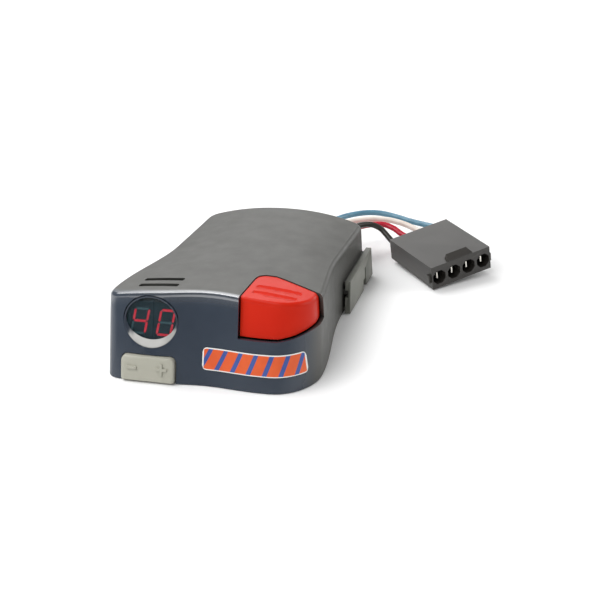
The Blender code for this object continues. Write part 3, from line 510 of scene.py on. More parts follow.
def window_cutter():
    """Cutter that flares forward past the face, so that it leaves a clean rim."""
    grow = BEZEL_WALL + GAP + CUTTER_PLAY
    flare = CUTTER_REACH / (PANE_DEPTH - GAP)
    mouth = [front + (front - rear) * flare for front, rear in zip(WINDOW_FRONT, WINDOW_REAR)]
    return from_rings("window_cutter", [
        window_ellipse(mouth, grow, face_level(CUTTER_REACH)),
        window_ellipse(WINDOW_REAR, grow, raked_level(PANE_DEPTH - GAP)),
        window_ellipse(WINDOW_REAR, grow, raked_level(PANE_DEPTH + 8.0)),
    ])


def override_floor(inset):
    """Outline across the case of the space the override sits in."""
    left = OVERRIDE_LEFT + inset
    rise = [(x, z + (1.0 + x / 60.0) * inset) for x, z in OVERRIDE_FLOOR]
    first = rise[0][1]
    return [(left, first)] + rise + [(60.0, rise[-1][1] + 0.4), (60.0, 60.0), (left, 60.0)]


def override_plan(inset):
    """Plan outline of the same space, with its slanting rear edge."""
    left = OVERRIDE_LEFT + inset
    shallow = [(max(x, left), y - inset * 1.05) for x, y in OVERRIDE_REAR]
    return [(left, -85.0), (left, -28.0)] + shallow + [(60.0, -37.6 - inset), (60.0, -85.0)]


def override_space(name, inset):
    space = prism(name, override_floor(inset), "y", -85.0, -15.0)
    combine(space, prism("plan", override_plan(inset), "z", 0.0, 70.0), "INTERSECT")
    return space


def groove_cutter(y, drop):
    """Sloping-sided cutter whose floor lies a given drop below the case top."""
    rings = []
    for level in (0.0, GROOVE_REACH):
        half = GROOVE_FLOOR + GROOVE_SLOPE * level
        grow = GROOVE_SLOPE * level
        left, right = GROOVE_X
        ring = []
        for x, spot in ((left - grow, y + half), (right + grow, y - GROOVE_SKEW + half),
                        (right + grow, y - GROOVE_SKEW - half), (left - grow, y - half)):
            ring.append((x, spot, float(top_z(x, y)) - drop + level))
        rings.append(ring)
    return from_rings("groove", rings)


def key_outline(grow=0.0, foot=KEY_Z[0]):
    """Rounded key outline seen from the front."""
    radius, foot_r = KEY_TOP_R + grow, KEY_FOOT_R
    left, right = KEY_X[0] - grow, KEY_X[1] + grow
    top = KEY_Z[1] + grow
    corners = [
        (right - radius, top - radius, radius, 0.0),
        (left + radius, top - radius, radius, 90.0),
        (left + foot_r, foot + foot_r, foot_r, 180.0),
        (right - foot_r, foot + foot_r, foot_r, 270.0),
    ]
    outline = []
    for x, z, r, start in corners:
        for k in range(ARC_STEPS + 1):
            turn = math.radians(start + 90.0 * k / ARC_STEPS)
            outline.append((x + r * math.cos(turn), z + r * math.sin(turn)))
    return outline


def key_ring(amount, level):
    """Key outline drawn in by amount, at a depth given by a function of x and z."""
    mid_z = sum(KEY_Z) / 2.0
    ring = []
    for x, z in key_outline():
        px = KEY_MID + (x - KEY_MID) * (1.0 - amount / 13.0)
        pz = mid_z + (z - mid_z) * (1.0 - amount / 6.0)
        ring.append((px, level(px, pz), pz))
    return ring


def plug_point(along, across, z):
    """Point on the plug: along its mating axis from its centre, across it, and up."""
    turn = Euler([math.radians(a) for a in PLUG_TURN], "XYZ").to_matrix()
    return tuple(turn @ Vector((along, across, z)) + Vector(PLUG_AT))


def plug_block(name, along, across, z):
    ring = rectangle(along, across)
    return from_rings(name, [[plug_point(a, b, level) for a, b in ring] for level in z])


def plug_rod(name, across, z, radius, along, count):
    rings = []
    for level in along:
        ring = []
        for k in range(count):
            turn = 2.0 * math.pi * (k + 0.5) / count
            ring.append(plug_point(level, across + radius * math.cos(turn), z + radius * math.sin(turn)))
        rings.append(ring)
    return from_rings(name, rings)


def socket_offsets():
    return [(k - 1.5) * SOCKET_PITCH for k in range(4)]


def latch_ramp(half_l):
    """Ramp on the plug's front edge, rising and narrowing towards the rear."""
    rear, front = half_l - LATCH_RUN[0], half_l - LATCH_RUN[1]
    low = PLUG_FRONT_HEIGHT - 1.0
    corners = [(rear, low, 0.0), (front, low, 0.0), (front, PLUG_FRONT_HEIGHT + LATCH_RISE[0], 0.0),
               (rear, PLUG_FRONT_HEIGHT + LATCH_RISE[1], LATCH_DRAW)]
    return from_rings("latch_ramp", [
        [plug_point(along, side * (LATCH_HALF - draw), z) for along, z, draw in corners]
        for side in (-1.0, 1.0)])


def smooth_route(points, step):
    """Evenly spaced points along a Catmull-Rom curve through the route points."""
    fine = []
    padded = [2.0 * points[0] - points[1]] + points + [2.0 * points[-1] - points[-2]]
    for a, b, c, d in zip(padded, padded[1:], padded[2:], padded[3:]):
        for k in range(40):
            t = k / 40.0
            fine.append(0.5 * (2.0 * b + (c - a) * t + (2.0 * a - 5.0 * b + 4.0 * c - d) * t * t
                               + (3.0 * b - a - 3.0 * c + d) * t ** 3))
    fine.append(points[-1])
    fine = np.array(fine)
    length = np.concatenate([[0.0], np.cumsum(np.linalg.norm(np.diff(fine, axis=0), axis=1))])
    count = max(4, int(round(length[-1] / step)))
    marks = np.linspace(0.0, length[-1], count + 1)
    return np.stack([np.interp(marks, length, fine[:, k]) for k in range(3)], 1)


def wire_routes():
    """Route points of each wire, from the grommet to the plug."""
    start_y = GROMMET_Y[1] + GAP
    entry = -PLUG_LENGTH / 2.0 - GAP
    offsets = socket_offsets()
    free = {
        "wire_blue": [
            (14.6, 93.5, 17.0), (20.4, 105.2, 16.8), (26.5, 112.9, 16.3), (33.1, 118.0, 15.7),
            (40.2, 120.2, 14.9), (48.5, 119.2, 13.9), (57.0, 117.0, 12.8), (64.6, 115.4, 12.1)],
        "wire_white": [
            (20.2, 90.0, 17.7), (24.4, 96.2, 17.7), (29.4, 100.9, 17.4), (35.2, 105.3, 17.0),
            (42.0, 108.8, 16.2), (49.2, 110.4, 15.0), (56.4, 110.0, 13.4), (61.4, 108.6, 12.0)],
        "wire_red": [
            (26.0, 88.6, 16.3), (29.4, 93.6, 15.7), (34.2, 98.7, 15.5), (39.6, 103.0, 15.2),
            (45.3, 105.3, 14.6), (51.0, 104.8, 12.8), (54.8, 102.8, 11.2)],
        "wire_black": [
            (31.2, 87.0, 18.4), (33.6, 91.0, 18.7), (36.8, 94.7, 18.4), (40.6, 97.8, 17.2),
            (44.8, 98.9, 14.9), (48.4, 97.6, 11.9)],
    }
    routes = {}
    for k, (name, middle) in enumerate(free.items()):
        offset = offsets[3 - k]
        start = [(EXIT_X[k], start_y, EXIT_Z), (EXIT_X[k], start_y + 5.0, EXIT_Z)]
        end = [plug_point(entry - 4.6, offset, SOCKET_Z), plug_point(entry, offset, SOCKET_Z)]
        routes[name] = start + middle + end
    return routes


# ---- finishing of meshes ----

def smooth(obj, angle=32.0):
    """Smooth shading that keeps the sharp edges, with normals led by the large faces."""
    for face in obj.data.polygons:
        face.use_smooth = True
    obj.data.set_sharp_from_angle(angle=math.radians(angle))
    step = obj.modifiers.new("normals", "WEIGHTED_NORMAL")
    step.keep_sharp = True


def edit(obj, step):
    """Runs one bmesh step on the mesh of an object."""
    bm = bmesh.new()
    bm.from_mesh(obj.data)
    step(bm)
    bm.to_mesh(obj.data)
    bm.free()


def tidy(obj, reach=0.02):
    """Closes up the slivers that the Booleans leave."""
    def step(bm):
        bmesh.ops.remove_doubles(bm, verts=bm.verts[:], dist=0.002 * MM)
        bmesh.ops.dissolve_degenerate(bm, dist=reach * MM, edges=bm.edges[:])
    edit(obj, step)


def flatten(obj):
    """Joins the triangles of each flat face, so that its edges can be rounded."""
    edit(obj, lambda bm: bmesh.ops.dissolve_limit(
        bm, angle_limit=math.radians(1.0), verts=bm.verts[:], edges=bm.edges[:]))


def rounded(obj, width, segments=3):
    step = obj.modifiers.new("round", "BEVEL")
    step.width = width * MM
    step.segments = segments
    step.limit_method = "ANGLE"
    step.angle_limit = math.radians(30.0)
    step.use_clamp_overlap = True
    smooth(obj, 50.0)


def paint(obj, look):
    obj.data.materials.clear()
    obj.data.materials.append(look)


def dress(obj, body, node, look):
    """Gives a piece its material and its place in the model."""
    paint(obj, look)
    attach(obj, body)
    if node:
        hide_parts(node)


# ---- materials ----

class Look:
    """A node material under construction."""

    def __init__(self, name):
        self.material = bpy.data.materials.new(name)
        self.material.use_nodes = True
        self.tree = self.material.node_tree
        self.shader = self.tree.nodes["Principled BSDF"]
        self.object_space = self.add("TexCoord").outputs["Object"]

    def add(self, kind):
        return self.tree.nodes.new("ShaderNode" + kind)

    def feed(self, source, target):
        """Links an output, or sets a plain number or colour."""
        if isinstance(source, float):
            target.default_value = source
        elif isinstance(source, tuple):
            target.default_value = (*source, 1.0)
        else:
            self.tree.links.new(source, target)

    def fix(self, socket, value):
        """Constant on one of the shader's own sockets."""
        self.shader.inputs[socket].default_value = value

    def noise(self, scale, detail=3.0, stretch=(1.0, 1.0, 1.0)):
        """Noise in object space; scale is in features per metre."""
        mapping = self.add("Mapping")
        mapping.inputs["Scale"].default_value = stretch
        self.feed(self.object_space, mapping.inputs["Vector"])
        node = self.add("TexNoise")
        node.inputs["Scale"].default_value = scale
        node.inputs["Detail"].default_value = detail
        self.feed(mapping.outputs["Vector"], node.inputs["Vector"])
        return node.outputs["Fac"]

    def ramp(self, source, *stops):
        """Colour running between two stops."""
        node = self.add("ValToRGB")
        for element, (position, colour) in zip(node.color_ramp.elements, stops):
            element.position = position
            element.color = (*colour, 1.0)
        self.feed(source, node.inputs["Fac"])
        return node.outputs["Color"]

    def tones(self, scale, pair, start=0.3):
        """Noise that drifts between a darker and a lighter colour."""
        return self.ramp(self.noise(scale), (start, pair[0]), (1.0 - start, pair[1]))

    def maths(self, operation, *sources):
        node = self.add("Math")
        node.operation = operation
        for source, target in zip(sources, node.inputs):
            self.feed(source, target)
        return node.outputs[0]

    def span(self, source, low, high, start=0.3, end=0.7):
        node = self.add("MapRange")
        for name, value in (("From Min", start), ("From Max", end), ("To Min", low), ("To Max", high)):
            node.inputs[name].default_value = value
        self.feed(source, node.inputs["Value"])
        return node.outputs["Result"]

    def mix(self, factor, first, second):
        node = self.add("Mix")
        node.data_type = "RGBA"
        self.feed(factor, node.inputs[0])
        self.feed(first, node.inputs[6])
        self.feed(second, node.inputs[7])
        return node.outputs[2]

    def attribute(self, name):
        node = self.add("Attribute")
        node.attribute_name = name
        return node.outputs["Fac"]

    def bump(self, source, strength, distance):
        node = self.add("Bump")
        node.inputs["Strength"].default_value = strength
        node.inputs["Distance"].default_value = distance * MM
        self.feed(source, node.inputs["Height"])
        self.feed(node.outputs["Normal"], self.shader.inputs["Normal"])

    def colour(self, source):
        self.feed(source, self.shader.inputs["Base Color"])

    def rough(self, scale, low, high):
        self.feed(self.span(self.noise(scale), low, high), self.shader.inputs["Roughness"])


def moulded(name, tones, rough=(0.4, 0.5), grain=1600.0, bump=0.25, depth=0.05, edge_highlight=0.0):
    """Moulded plastic: slow colour drift, fine texture and edges lightened as a painted highlight."""
    look = Look(name)
    drift = look.tones(24.0, tones, 0.35)
    speck = look.noise(grain, 2.0)
    if edge_highlight:
        # painted highlight: edges lightened by their pointiness
        geometry = look.add("NewGeometry")
        edge = look.span(geometry.outputs["Pointiness"], 0.0, edge_highlight, 0.52, 0.58)
        pale = tuple(min(1.0, c * 2.2 + 0.02) for c in tones[1])
        drift = look.mix(edge, drift, pale)
    look.colour(drift)
    look.rough(90.0, *rough)
    look.bump(speck, bump, depth)
    return look.material


def case_look():
    """Textured charcoal on the top and sides, running into a smoother front painted darker and bluer as
    painted shade and a painted bluish reflection; the inside is painted near-black as painted shade.
    """
    look = Look("case_finish_with_painted_shade")
    front = look.attribute("front")
    shell = look.tones(20.0, SHELL_TONES)
    # painted shade and painted bluish reflection on the front
    face = look.tones(30.0, FRONT_SHADE_TONES)
    # painted shade inside the case
    recess_shade = look.tones(40.0, RECESS_SHADE_TONES)
    # the inner attribute lays the painted shade over the inside of the case
    look.colour(look.mix(look.attribute("inner"), look.mix(front, shell, face), recess_shade))
    shell_rough = look.span(look.noise(120.0), 0.42, 0.50)
    face_rough = look.span(look.noise(60.0), 0.21, 0.26)
    look.feed(look.mix(front, shell_rough, face_rough), look.shader.inputs["Roughness"])
    calm = look.span(front, 1.0, 0.18, 0.0, 1.0)
    look.bump(look.maths("MULTIPLY", look.noise(1900.0, 2.0), calm), 0.3, 0.05)
    look.feed(look.attribute("gloss"), look.shader.inputs["Coat Weight"])
    look.fix("Coat Roughness", EDGE_COAT_ROUGHNESS)
    look.fix("Coat IOR", EDGE_COAT_IOR)
    return look.material


def wire_look(name, tones):
    look = Look(name)
    look.colour(look.tones(160.0, tones, 0.35))
    look.rough(300.0, 0.18, 0.26)
    look.bump(look.noise(900.0), 0.06, 0.03)
    return look.material


def metal(name, colour, rough=(0.22, 0.38), stretch=(1.0, 1.0, 14.0)):
    look = Look(name)
    look.fix("Metallic", 1.0)
    dull = tuple(c * 0.8 for c in colour)
    look.colour(look.ramp(look.noise(500.0, 3.0, stretch), (0.3, dull), (0.7, colour)))
    look.rough(400.0, *rough)
    look.bump(look.noise(1500.0, 2.0, stretch), 0.15, 0.02)
    return look.material


def surround_look():
    """Ring painted dark as painted shade, with a painted highlight on its lower slope."""
    look = Look("surround_shade_and_highlight")
    dark = look.tones(30.0, SURROUND_SHADE_TONES)
    pale = look.tones(90.0, LIP_HIGHLIGHT_TONES)
    # painted highlight on the lower slope, over painted shade
    look.colour(look.mix(look.attribute("lip"), dark, pale))
    look.rough(120.0, 0.26, 0.36)
    look.bump(look.noise(1500.0, 2.0), 0.1, 0.03)
    return look.material


def pane_look():
    look = Look("smoked_pane")
    look.colour(look.tones(60.0, PANE_TONES))
    look.rough(200.0, 0.05, 0.10)
    look.fix("Alpha", PANE_ALPHA)
    return look.material


def lit_look():
    look = Look("lit_segment")
    glow = look.tones(420.0, LIT_TONES)
    look.colour(glow)
    look.feed(glow, look.shader.inputs["Emission Color"])
    look.fix("Emission Strength", 1.0)
    look.rough(200.0, 0.4, 0.5)
    return look.material


def band_look():
    """Plain slanting stripes inside a pale rim, drawn along and across the band."""
    look = Look("striped_band")
    shifted = look.maths("ADD", look.attribute("along"), STRIPE_OFFSET)
    slant = look.maths("MULTIPLY_ADD", look.attribute("across"), STRIPE_SLANT, shifted)
    period = look.maths("MODULO", slant, STRIPE_PERIOD)
    stripes = look.span(period, 0.0, 1.0, *STRIPE_EDGE)
    inner = look.mix(stripes, look.tones(160.0, ORANGE_TONES), look.tones(160.0, BLUE_TONES))
    rim = look.maths("GREATER_THAN", look.attribute("rim"), 0.5)
    look.colour(look.mix(rim, inner, RIM_COLOUR))
    look.rough(220.0, 0.28, 0.38)
    look.bump(look.noise(700.0), 0.08, 0.03)
    return look.material


# ---- pieces ----

def vertex_spots(obj):
    """Vertex coordinates in design millimetres."""
    x, y, z = np.array([v.co for v in obj.data.vertices]).T / MM
    return x, y - Y_DATUM, z


def mark(obj, **values):
    """Stores a number for each vertex under each name, for the materials to read."""
    for name, numbers in values.items():
        layer = obj.data.attributes.new(name, "FLOAT", "POINT")
        layer.data.foreach_set("value", np.ascontiguousarray(numbers, np.float32))


def front_blend(obj):
    """Marks the smoother front that takes painted shade, its glossier top edge and the inside of the
    case that is painted dark as painted shade.
    """
    x, y, z = vertex_spots(obj)
    reach = FACING_REACH
    slope_x = plan_distance(x + reach, y, z) - plan_distance(x - reach, y, z)
    slope_y = plan_distance(x, y + reach, z) - plan_distance(x, y - reach, z)
    facing = -slope_y / np.maximum(np.hypot(slope_x, slope_y), 1e-6)
    fade = np.where(x < 0.0, smoothstep((facing - 0.05) / 0.2), smoothstep((facing - 0.15) / 0.6))
    wall = plan_distance(x, y, z)
    below = top_z(x, y) - z
    # share of the front that gets the painted shade
    share = fade * smoothstep((wall + EDGE_R) / 0.6)
    sheen = SHEEN_LEFT + (1.0 - SHEEN_LEFT) * smoothstep((x + 45.0) / 45.0)
    edge = smoothstep((-below + EDGE_R + 1.0) / 1.2)
    gloss = share * (GLOSS_FACE + (1.0 - GLOSS_FACE) * sheen * edge)
    # painted shade: darkens the case inside its walls and openings
    recess_shade_share = smoothstep((np.minimum(-wall, below) - 0.4) / 0.5) * (z > 0.4)
    mark(obj, front=share, gloss=gloss, inner=recess_shade_share)


def grommet_block(name, y, grow):
    """Block round the wires' exit from the rear wall."""
    mid = (EXIT_X[0] + EXIT_X[-1]) / 2.0
    half_w, half_h = (half + grow for half in GROMMET_HALF)
    return block(name, (mid - half_w, mid + half_w), y, (EXIT_Z - half_h, EXIT_Z + half_h))


def mirrored(inner, outer):
    """The same span on the left and on the right, each in rising order."""
    return ((-outer, -inner), (inner, outer))


def build_housing():
    outer = shell_rings(OUTLINE_POINTS, 0.0, 0.0, EDGE_R, ARC_STEPS, TOP_STEPS, 0.0)
    inner = shell_rings(OUTLINE_POINTS, WALL, WALL, 0.8, INNER_ARC_STEPS, INNER_TOP_STEPS, 0.0)
    housing = from_rings("case_shell", inner[::-1] + outer)
    cut(housing, window_cutter(), override_space("override_cutter", 0.0))
    join(housing, block("key_lug", (KEY_MID - KEY_LUG_HALF, KEY_MID + KEY_LUG_HALF), KEY_LUG_Y,
                        (KEY_Z[1] - 1.3, KEY_LUG_TOP)))
    cut(housing, prism("key_cutter", key_outline(KEY_GAP, -3.0), "y", -80.0, -50.0))
    for y in VENT_Y:
        left, right = VENT_X
        ends = [(left, y - VENT_HALF), (right, y - VENT_HALF), (right + 0.4, y),
                (right, y + VENT_HALF), (left, y + VENT_HALF), (left - 0.4, y)]
        cut(housing, prism("vent", ends, "z", 30.0, 50.0))
    cut(housing, block("clip_way", (-60.0, 60.0), (CLIP_BASE_Y[0] - GAP, 90.0), (-2.0, CLIP_BASE + GAP)))
    for rail, rib in zip(mirrored(RAIL_IN, RAIL_OUT), mirrored(RAIL_IN, RIB_OUT)):
        join(housing, block("rail", rail, RAIL_Y, RAIL_Z), block("rib", rib, RAIL_Y, RIB_Z))
    for x0, x1, front, rear in LUGS:
        roof = float(top_z(x1, rear)) - WALL + 0.7
        join(housing, block("lug", (x0, x1), (front, rear), (PIVOT_Z - 3.0, roof)))
        cut(housing, rod("pin_hole", (PIVOT_Y, PIVOT_Z), PIN_R + RUNNING, "x", x0 - 0.5, x1 + 0.5, 24))
    cut(housing, grommet_block("grommet_hole", (68.0, 82.0), GAP))
    tidy(housing)
    front_blend(housing)
    dress(housing, "case", "upper_housing", case_look())
    smooth(housing)


def build_button():
    edge = GAP + 0.1
    lid = OVERRIDE_LID
    outer = shell_rings(OUTLINE_POINTS, OVERRIDE_INSET, lid, EDGE_R, ARC_STEPS, TOP_STEPS, 10.0)
    button = from_rings("override_paddle", outer)
    combine(button, override_space("space", edge), "INTERSECT")
    inner = shell_rings(72, OVERRIDE_INSET + OVERRIDE_WALL, lid + OVERRIDE_WALL, 1.0,
                        INNER_ARC_STEPS, INNER_TOP_STEPS, 10.0)
    hollow = from_rings("hollow", inner)
    left = OVERRIDE_LEFT + edge + OVERRIDE_WALL
    plan = [(x, y - OVERRIDE_WALL - 0.4) for x, y in override_plan(edge)]
    inside = prism("inside", plan, "z", 0.0, 60.0)
    combine(inside, block("limit", (left, 70.0), (-90.0, -20.0), (0.0, 60.0)), "INTERSECT")
    combine(hollow, inside, "INTERSECT")
    cut(button, hollow)
    for k in range(GROOVES):
        cut(button, groove_cutter(GROOVE_START - GROOVE_PITCH * k, lid + GROOVE_DEPTH))
    tidy(button, 0.06)
    look = moulded("button_finish", BUTTON_TONES, (0.34, 0.42), 1400.0, 0.12, 0.04)
    look.node_tree.nodes["Principled BSDF"].inputs["Specular IOR Level"].default_value = 0.15
    dress(button, "override", "override_button", look)
    smooth(button)


def build_return_spring():
    """Coil under the button, as one closed tube."""
    edge_x = SPRING_AT[0] + SPRING_R + SPRING_WIRE
    roof = float(top_z(edge_x, SPRING_AT[1])) - OVERRIDE_LID - OVERRIDE_WALL
    low, high = BOARD_Z[1] + GAP, roof - FACET_SAG - GAP
    steps = SPRING_TURNS * SPRING_STEPS
    rings = []
    for k in range(steps + 1):
        turn = 2.0 * math.pi * SPRING_TURNS * k / steps
        rise = low + SPRING_WIRE + (high - low - 2.0 * SPRING_WIRE) * k / steps
        ring = []
        for i in range(SPRING_SIDES):
            a = 2.0 * math.pi * i / SPRING_SIDES
            reach = SPRING_R + SPRING_WIRE * math.cos(a)
            x = SPRING_AT[0] + reach * math.cos(turn)
            y = SPRING_AT[1] + reach * math.sin(turn)
            ring.append((x, y, rise + SPRING_WIRE * math.sin(a)))
        rings.append(ring)
    spring = from_rings("return_spring", rings)
    dress(spring, "case", "override_spring", metal("spring_steel", STEEL))
    smooth(spring, 60.0)
    reach = PIVOT_Y - SPRING_AT[1] + SPRING_R + SPRING_WIRE
    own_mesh(spring)


def build_key():
    key = from_rings("rocker_key", [
        key_ring(0.0, lambda x, z: KEY_REAR_Y),
        key_ring(0.0, face_level(KEY_PROUD - 0.9)),
        key_ring(0.12, face_level(KEY_PROUD - 0.45)),
        key_ring(0.4, face_level(KEY_PROUD - 0.15)),
        key_ring(0.9, face_level(KEY_PROUD)),
    ])
    face = float(front_y(KEY_MID, MARK_Z)) - KEY_PROUD
    for x, wide, tall, proud in MARKS:
        lean = FRONT_RAKE * tall / 2.0
        low, high = MARK_Z - tall / 2.0, MARK_Z + tall / 2.0
        front, back = face - proud, face + 1.2 + proud
        side = [(front - lean, low), (front + lean, high), (back + lean, high), (back - lean, low)]
        join(key, prism("mark", side, "x", x - wide / 2.0, x + wide / 2.0))
    tidy(key)
    look = moulded("key_finish", KEY_TONES, (0.58, 0.68), 2200.0, 0.3, 0.05)
    dress(key, "key", "adjust_key", look)
    smooth(key)


def lip_highlight_blend(obj):
    """Marks the lower inner slope of the surround, which gets a pale painted highlight."""
    x, _, z = vertex_spots(obj)
    middle, half_w, half_h = WINDOW_FRONT
    outer = np.hypot((x - WINDOW_X) / (half_w + 0.12), (z - middle) / (half_h + 0.12))
    low = smoothstep((middle - LIP_LEVEL + LIP_LEAN * (x - WINDOW_X) - z) / LIP_SOFT)
    mark(obj, lip=low * (outer < 1.0))


def build_segments(lit, unlit):
    """Seven segments on each digit body, lit or unlit."""
    depth = PANE_DEPTH + PANE_THICK + GAP
    for node, middle, shown in DIGITS:
        for name, ends in SEGMENTS.items():
            a, b = np.array(ends, float) * (SEGMENT_HALF_W, SEGMENT_HALF_H)
            run = (b - a) / np.linalg.norm(b - a)
            across = np.array((-run[1], run[0])) * SEGMENT_R
            a = a + run * SEGMENT_GAP
            b = b - run * SEGMENT_GAP
            tip = run * SEGMENT_R
            outline = [a, a + tip + across, b - tip + across, b, b - tip - across, a + tip - across]
            rings = []
            for ahead in SEGMENT_DEPTHS:
                ring = []
                for u, v in outline:
                    z = DIGIT_Z + v
                    ring.append((middle + u + SLANT * v, raked_level(depth - ahead)(0.0, z), z))
                rings.append(ring)
            piece = from_rings(f"{node}_segment_{name}", rings)
            dress(piece, "case", None, lit if name in shown else unlit)


def build_display():
    bezel = from_rings("display_surround", [
        window_ellipse(WINDOW_REAR, 0.0, raked_level(PANE_DEPTH - GAP)),
        window_ellipse(WINDOW_FRONT, -0.15, face_level(BEZEL_PROUD - 0.12)),
        window_ellipse(WINDOW_FRONT, 0.1, face_level(BEZEL_PROUD)),
        window_ellipse(WINDOW_FRONT, BEZEL_WALL, face_level(BEZEL_PROUD)),
        window_ellipse(WINDOW_REAR, BEZEL_WALL, raked_level(PANE_DEPTH - GAP)),
    ], looped=True)
    # marks where the painted highlight goes
    lip_highlight_blend(bezel)
    dress(bezel, "case", "display_bezel", surround_look())
    smooth(bezel, 45.0)
    pane = from_rings("display_pane", [
        window_ellipse(WINDOW_REAR, PANE_LIP, raked_level(PANE_DEPTH)),
        window_ellipse(WINDOW_REAR, PANE_LIP, raked_level(PANE_DEPTH + PANE_THICK)),
    ])
    dress(pane, "case", "display_window", pane_look())
    unlit = moulded("unlit_segment", UNLIT_TONES, (0.4, 0.5))
    build_segments(lit_look(), unlit)


def build_band():
    """Plain striped band wrapped round the front corner, with rounded ends."""
    count, rows = BAND_COLUMNS, BAND_ROWS
    start = math.atan2(BAND_LEFT_Y - SPINE_FRONT, DECAL_X[0])
    end = math.atan2(BAND_RIGHT_Y - SPINE_FRONT, DECAL_X[1])
    angles = np.linspace(start, end, count)
    heading = np.stack([np.cos(angles), np.sin(angles)], 1)
    anchor = np.stack([np.zeros(count), np.full(count, SPINE_FRONT)], 1)
    low, high = DECAL_Z
    half = (high - low) / 2.0
    middle = (low + high) / 2.0
    edge = cast(anchor, heading, middle, 0.0)
    length = np.concatenate([[0.0], np.cumsum(np.hypot(*np.diff(edge, axis=0).T))])
    from_end = np.minimum(length, length[-1] - length)
    into_corner = np.maximum(BAND_CORNER - from_end, 0.0)
    cutback = BAND_CORNER - np.sqrt(np.maximum(BAND_CORNER ** 2 - into_corner ** 2, 0.0))
    points = []
    facts = []
    for proud in (DECAL_LIFT, DECAL_LIFT + DECAL_THICK):
        for j in range(rows):
            share = -1.0 + 2.0 * j / (rows - 1)
            height = middle + share * (half - cutback)
            spot = cast(anchor, heading, height, -proud)
            for i in range(count):
                points.append((spot[i, 0], spot[i, 1], height[i]))
                gap = min(from_end[i], (1.0 - abs(share)) * (half - cutback[i]))
                facts.append((length[i], share * half, 1.0 if gap < BAND_RIM else 0.0))
    faces = []
    layer = rows * count

    def side_wall(a, b):
        faces.append([a, b, layer + b, layer + a])

    for j in range(rows - 1):
        for i in range(count - 1):
            quad = [j * count + i, j * count + i + 1, (j + 1) * count + i + 1, (j + 1) * count + i]
            faces += [quad, [layer + k for k in reversed(quad)]]
    for i in range(count - 1):
        for j in (0, rows - 1):
            side_wall(j * count + i, j * count + i + 1)
    for j in range(rows - 1):
        for i in (0, count - 1):
            side_wall(j * count + i, (j + 1) * count + i)
    band = mesh_object("front_band", points, faces)
    along, across, rim = np.array(facts, np.float32).T
    mark(band, along=along, across=across, rim=rim)
    dress(band, "case", "front_decal", band_look())
    smooth(band, 50.0)


def build_clip():
    clip = block("clip", (-CLIP_OUTER_X, CLIP_OUTER_X), CLIP_BASE_Y, (0.0, CLIP_BASE))
    lean = CLIP_FRONT_RAKE * CLIP_TOP
    arm = [(CLIP_FRONT_FOOT, 0.0), (NOTCH_Y[0], 0.0), (NOTCH_Y[0], NOTCH_TOP), (SLIT_Y[0], NOTCH_TOP),
           (SLIT_Y[0], SLIT_TOP), (SLIT_Y[1], SLIT_TOP), (SLIT_Y[1], 0.6), (CLIP_REAR, 0.6),
           (CLIP_REAR - 1.4, CLIP_TOP), (CLIP_FRONT_FOOT + lean, CLIP_TOP)]
    inner = CLIP_OUTER_X - CLIP_ARM
    for x, channel in zip(mirrored(inner, CLIP_OUTER_X), mirrored(inner - 1.0, RAIL_OUT + GAP)):
        join(clip, prism("arm", arm, "x", *x))
        cut(clip, block("channel", channel, (10.0, 80.0), (RAIL_Z[0] - GAP, RAIL_Z[1] + GAP)))
    mid_y = sum(CLIP_BASE_Y) / 2.0
    for x in (-CLIP_SCREW_X, CLIP_SCREW_X):
        cut(clip, rod("screw_hole", (x, mid_y), CLIP_SCREW_R, "z", -1.0, 3.0, 40))
    tidy(clip)
    flatten(clip)
    # the last number lightens the edges as a painted highlight
    look = moulded("clip_finish_with_edge_highlight", CLIP_TONES, (0.42, 0.5), 1700.0, 0.25, 0.05, 0.4)
    dress(clip, "clip", "mounting_clip", look)
    rounded(clip, 0.3)


def build_plug():
    half_l, half_w = PLUG_LENGTH / 2.0, PLUG_WIDTH / 2.0
    body = [(-half_l, 0.0), (half_l, 0.0), (half_l, PLUG_FRONT_HEIGHT), (-half_l, PLUG_REAR_HEIGHT)]
    sides = [[plug_point(a, across, z) for a, z in body] for across in (-half_w, half_w)]
    plug = from_rings("plug_shell", sides)
    join(plug, latch_ramp(half_l))
    for across in mirrored(half_w - 0.5, half_w + 1.3):
        join(plug, plug_block("side_rib", (half_l - 3.4, half_l - 1.2), across,
                              (SOCKET_Z - 2.4, SOCKET_Z + 2.0)))
    mouth = (half_l - SOCKET_DEPTH, half_l + 2.0)
    tail = (-half_l - 2.0, -half_l + 9.0)
    for offset in socket_offsets():
        cut(plug, plug_rod("socket", offset, SOCKET_Z, SOCKET_R, mouth, 8))
        cut(plug, plug_rod("core", offset, SOCKET_Z, WIRE_R + 0.55, tail, 32))
    tidy(plug)
    flatten(plug)
    # the last number lightens the edges as a painted highlight
    look = moulded("plug_finish_with_edge_highlight", PLUG_TONES, (0.34, 0.38), 700.0, 0.15, 0.03, 0.25)
    dress(plug, "case", "plug_housing", look)
    rounded(plug, 0.3)
    return plug


def build_grommet():
    grommet = grommet_block("cable_grommet", GROMMET_Y, 0.0)
    flatten(grommet)
    look = moulded("grommet_finish", GROMMET_TONES, (0.58, 0.68))
    dress(grommet, "case", "wire_grommet", look)
    rounded(grommet, 1.0, 4)


def build_cords():
    """The four free wires, each with its first point and its length."""
    cords = []
    for name, route in wire_routes().items():
        curve = bpy.data.curves.new(name + "_lead", "CURVE")
        curve.dimensions = "3D"
        curve.bevel_depth = WIRE_R * MM
        curve.bevel_resolution = 8
        curve.use_fill_caps = True
        points = place(smooth_route([np.array(p, float) for p in route], WIRE_STEP))
        line = curve.splines.new("POLY")
        line.points.add(len(points) - 1)
        for slot_point, spot in zip(line.points, points):
            slot_point.co = (*spot, 1.0)
        line.use_smooth = True
        obj = add_object(name + "_lead", curve)
        length = sum((b - a).length for a, b in zip(points, points[1:]))
        dress(obj, "case", name, wire_look(name + "_insulation", WIRE_TONES[name]))
        cords.append((obj, points[0], length))
    return cords


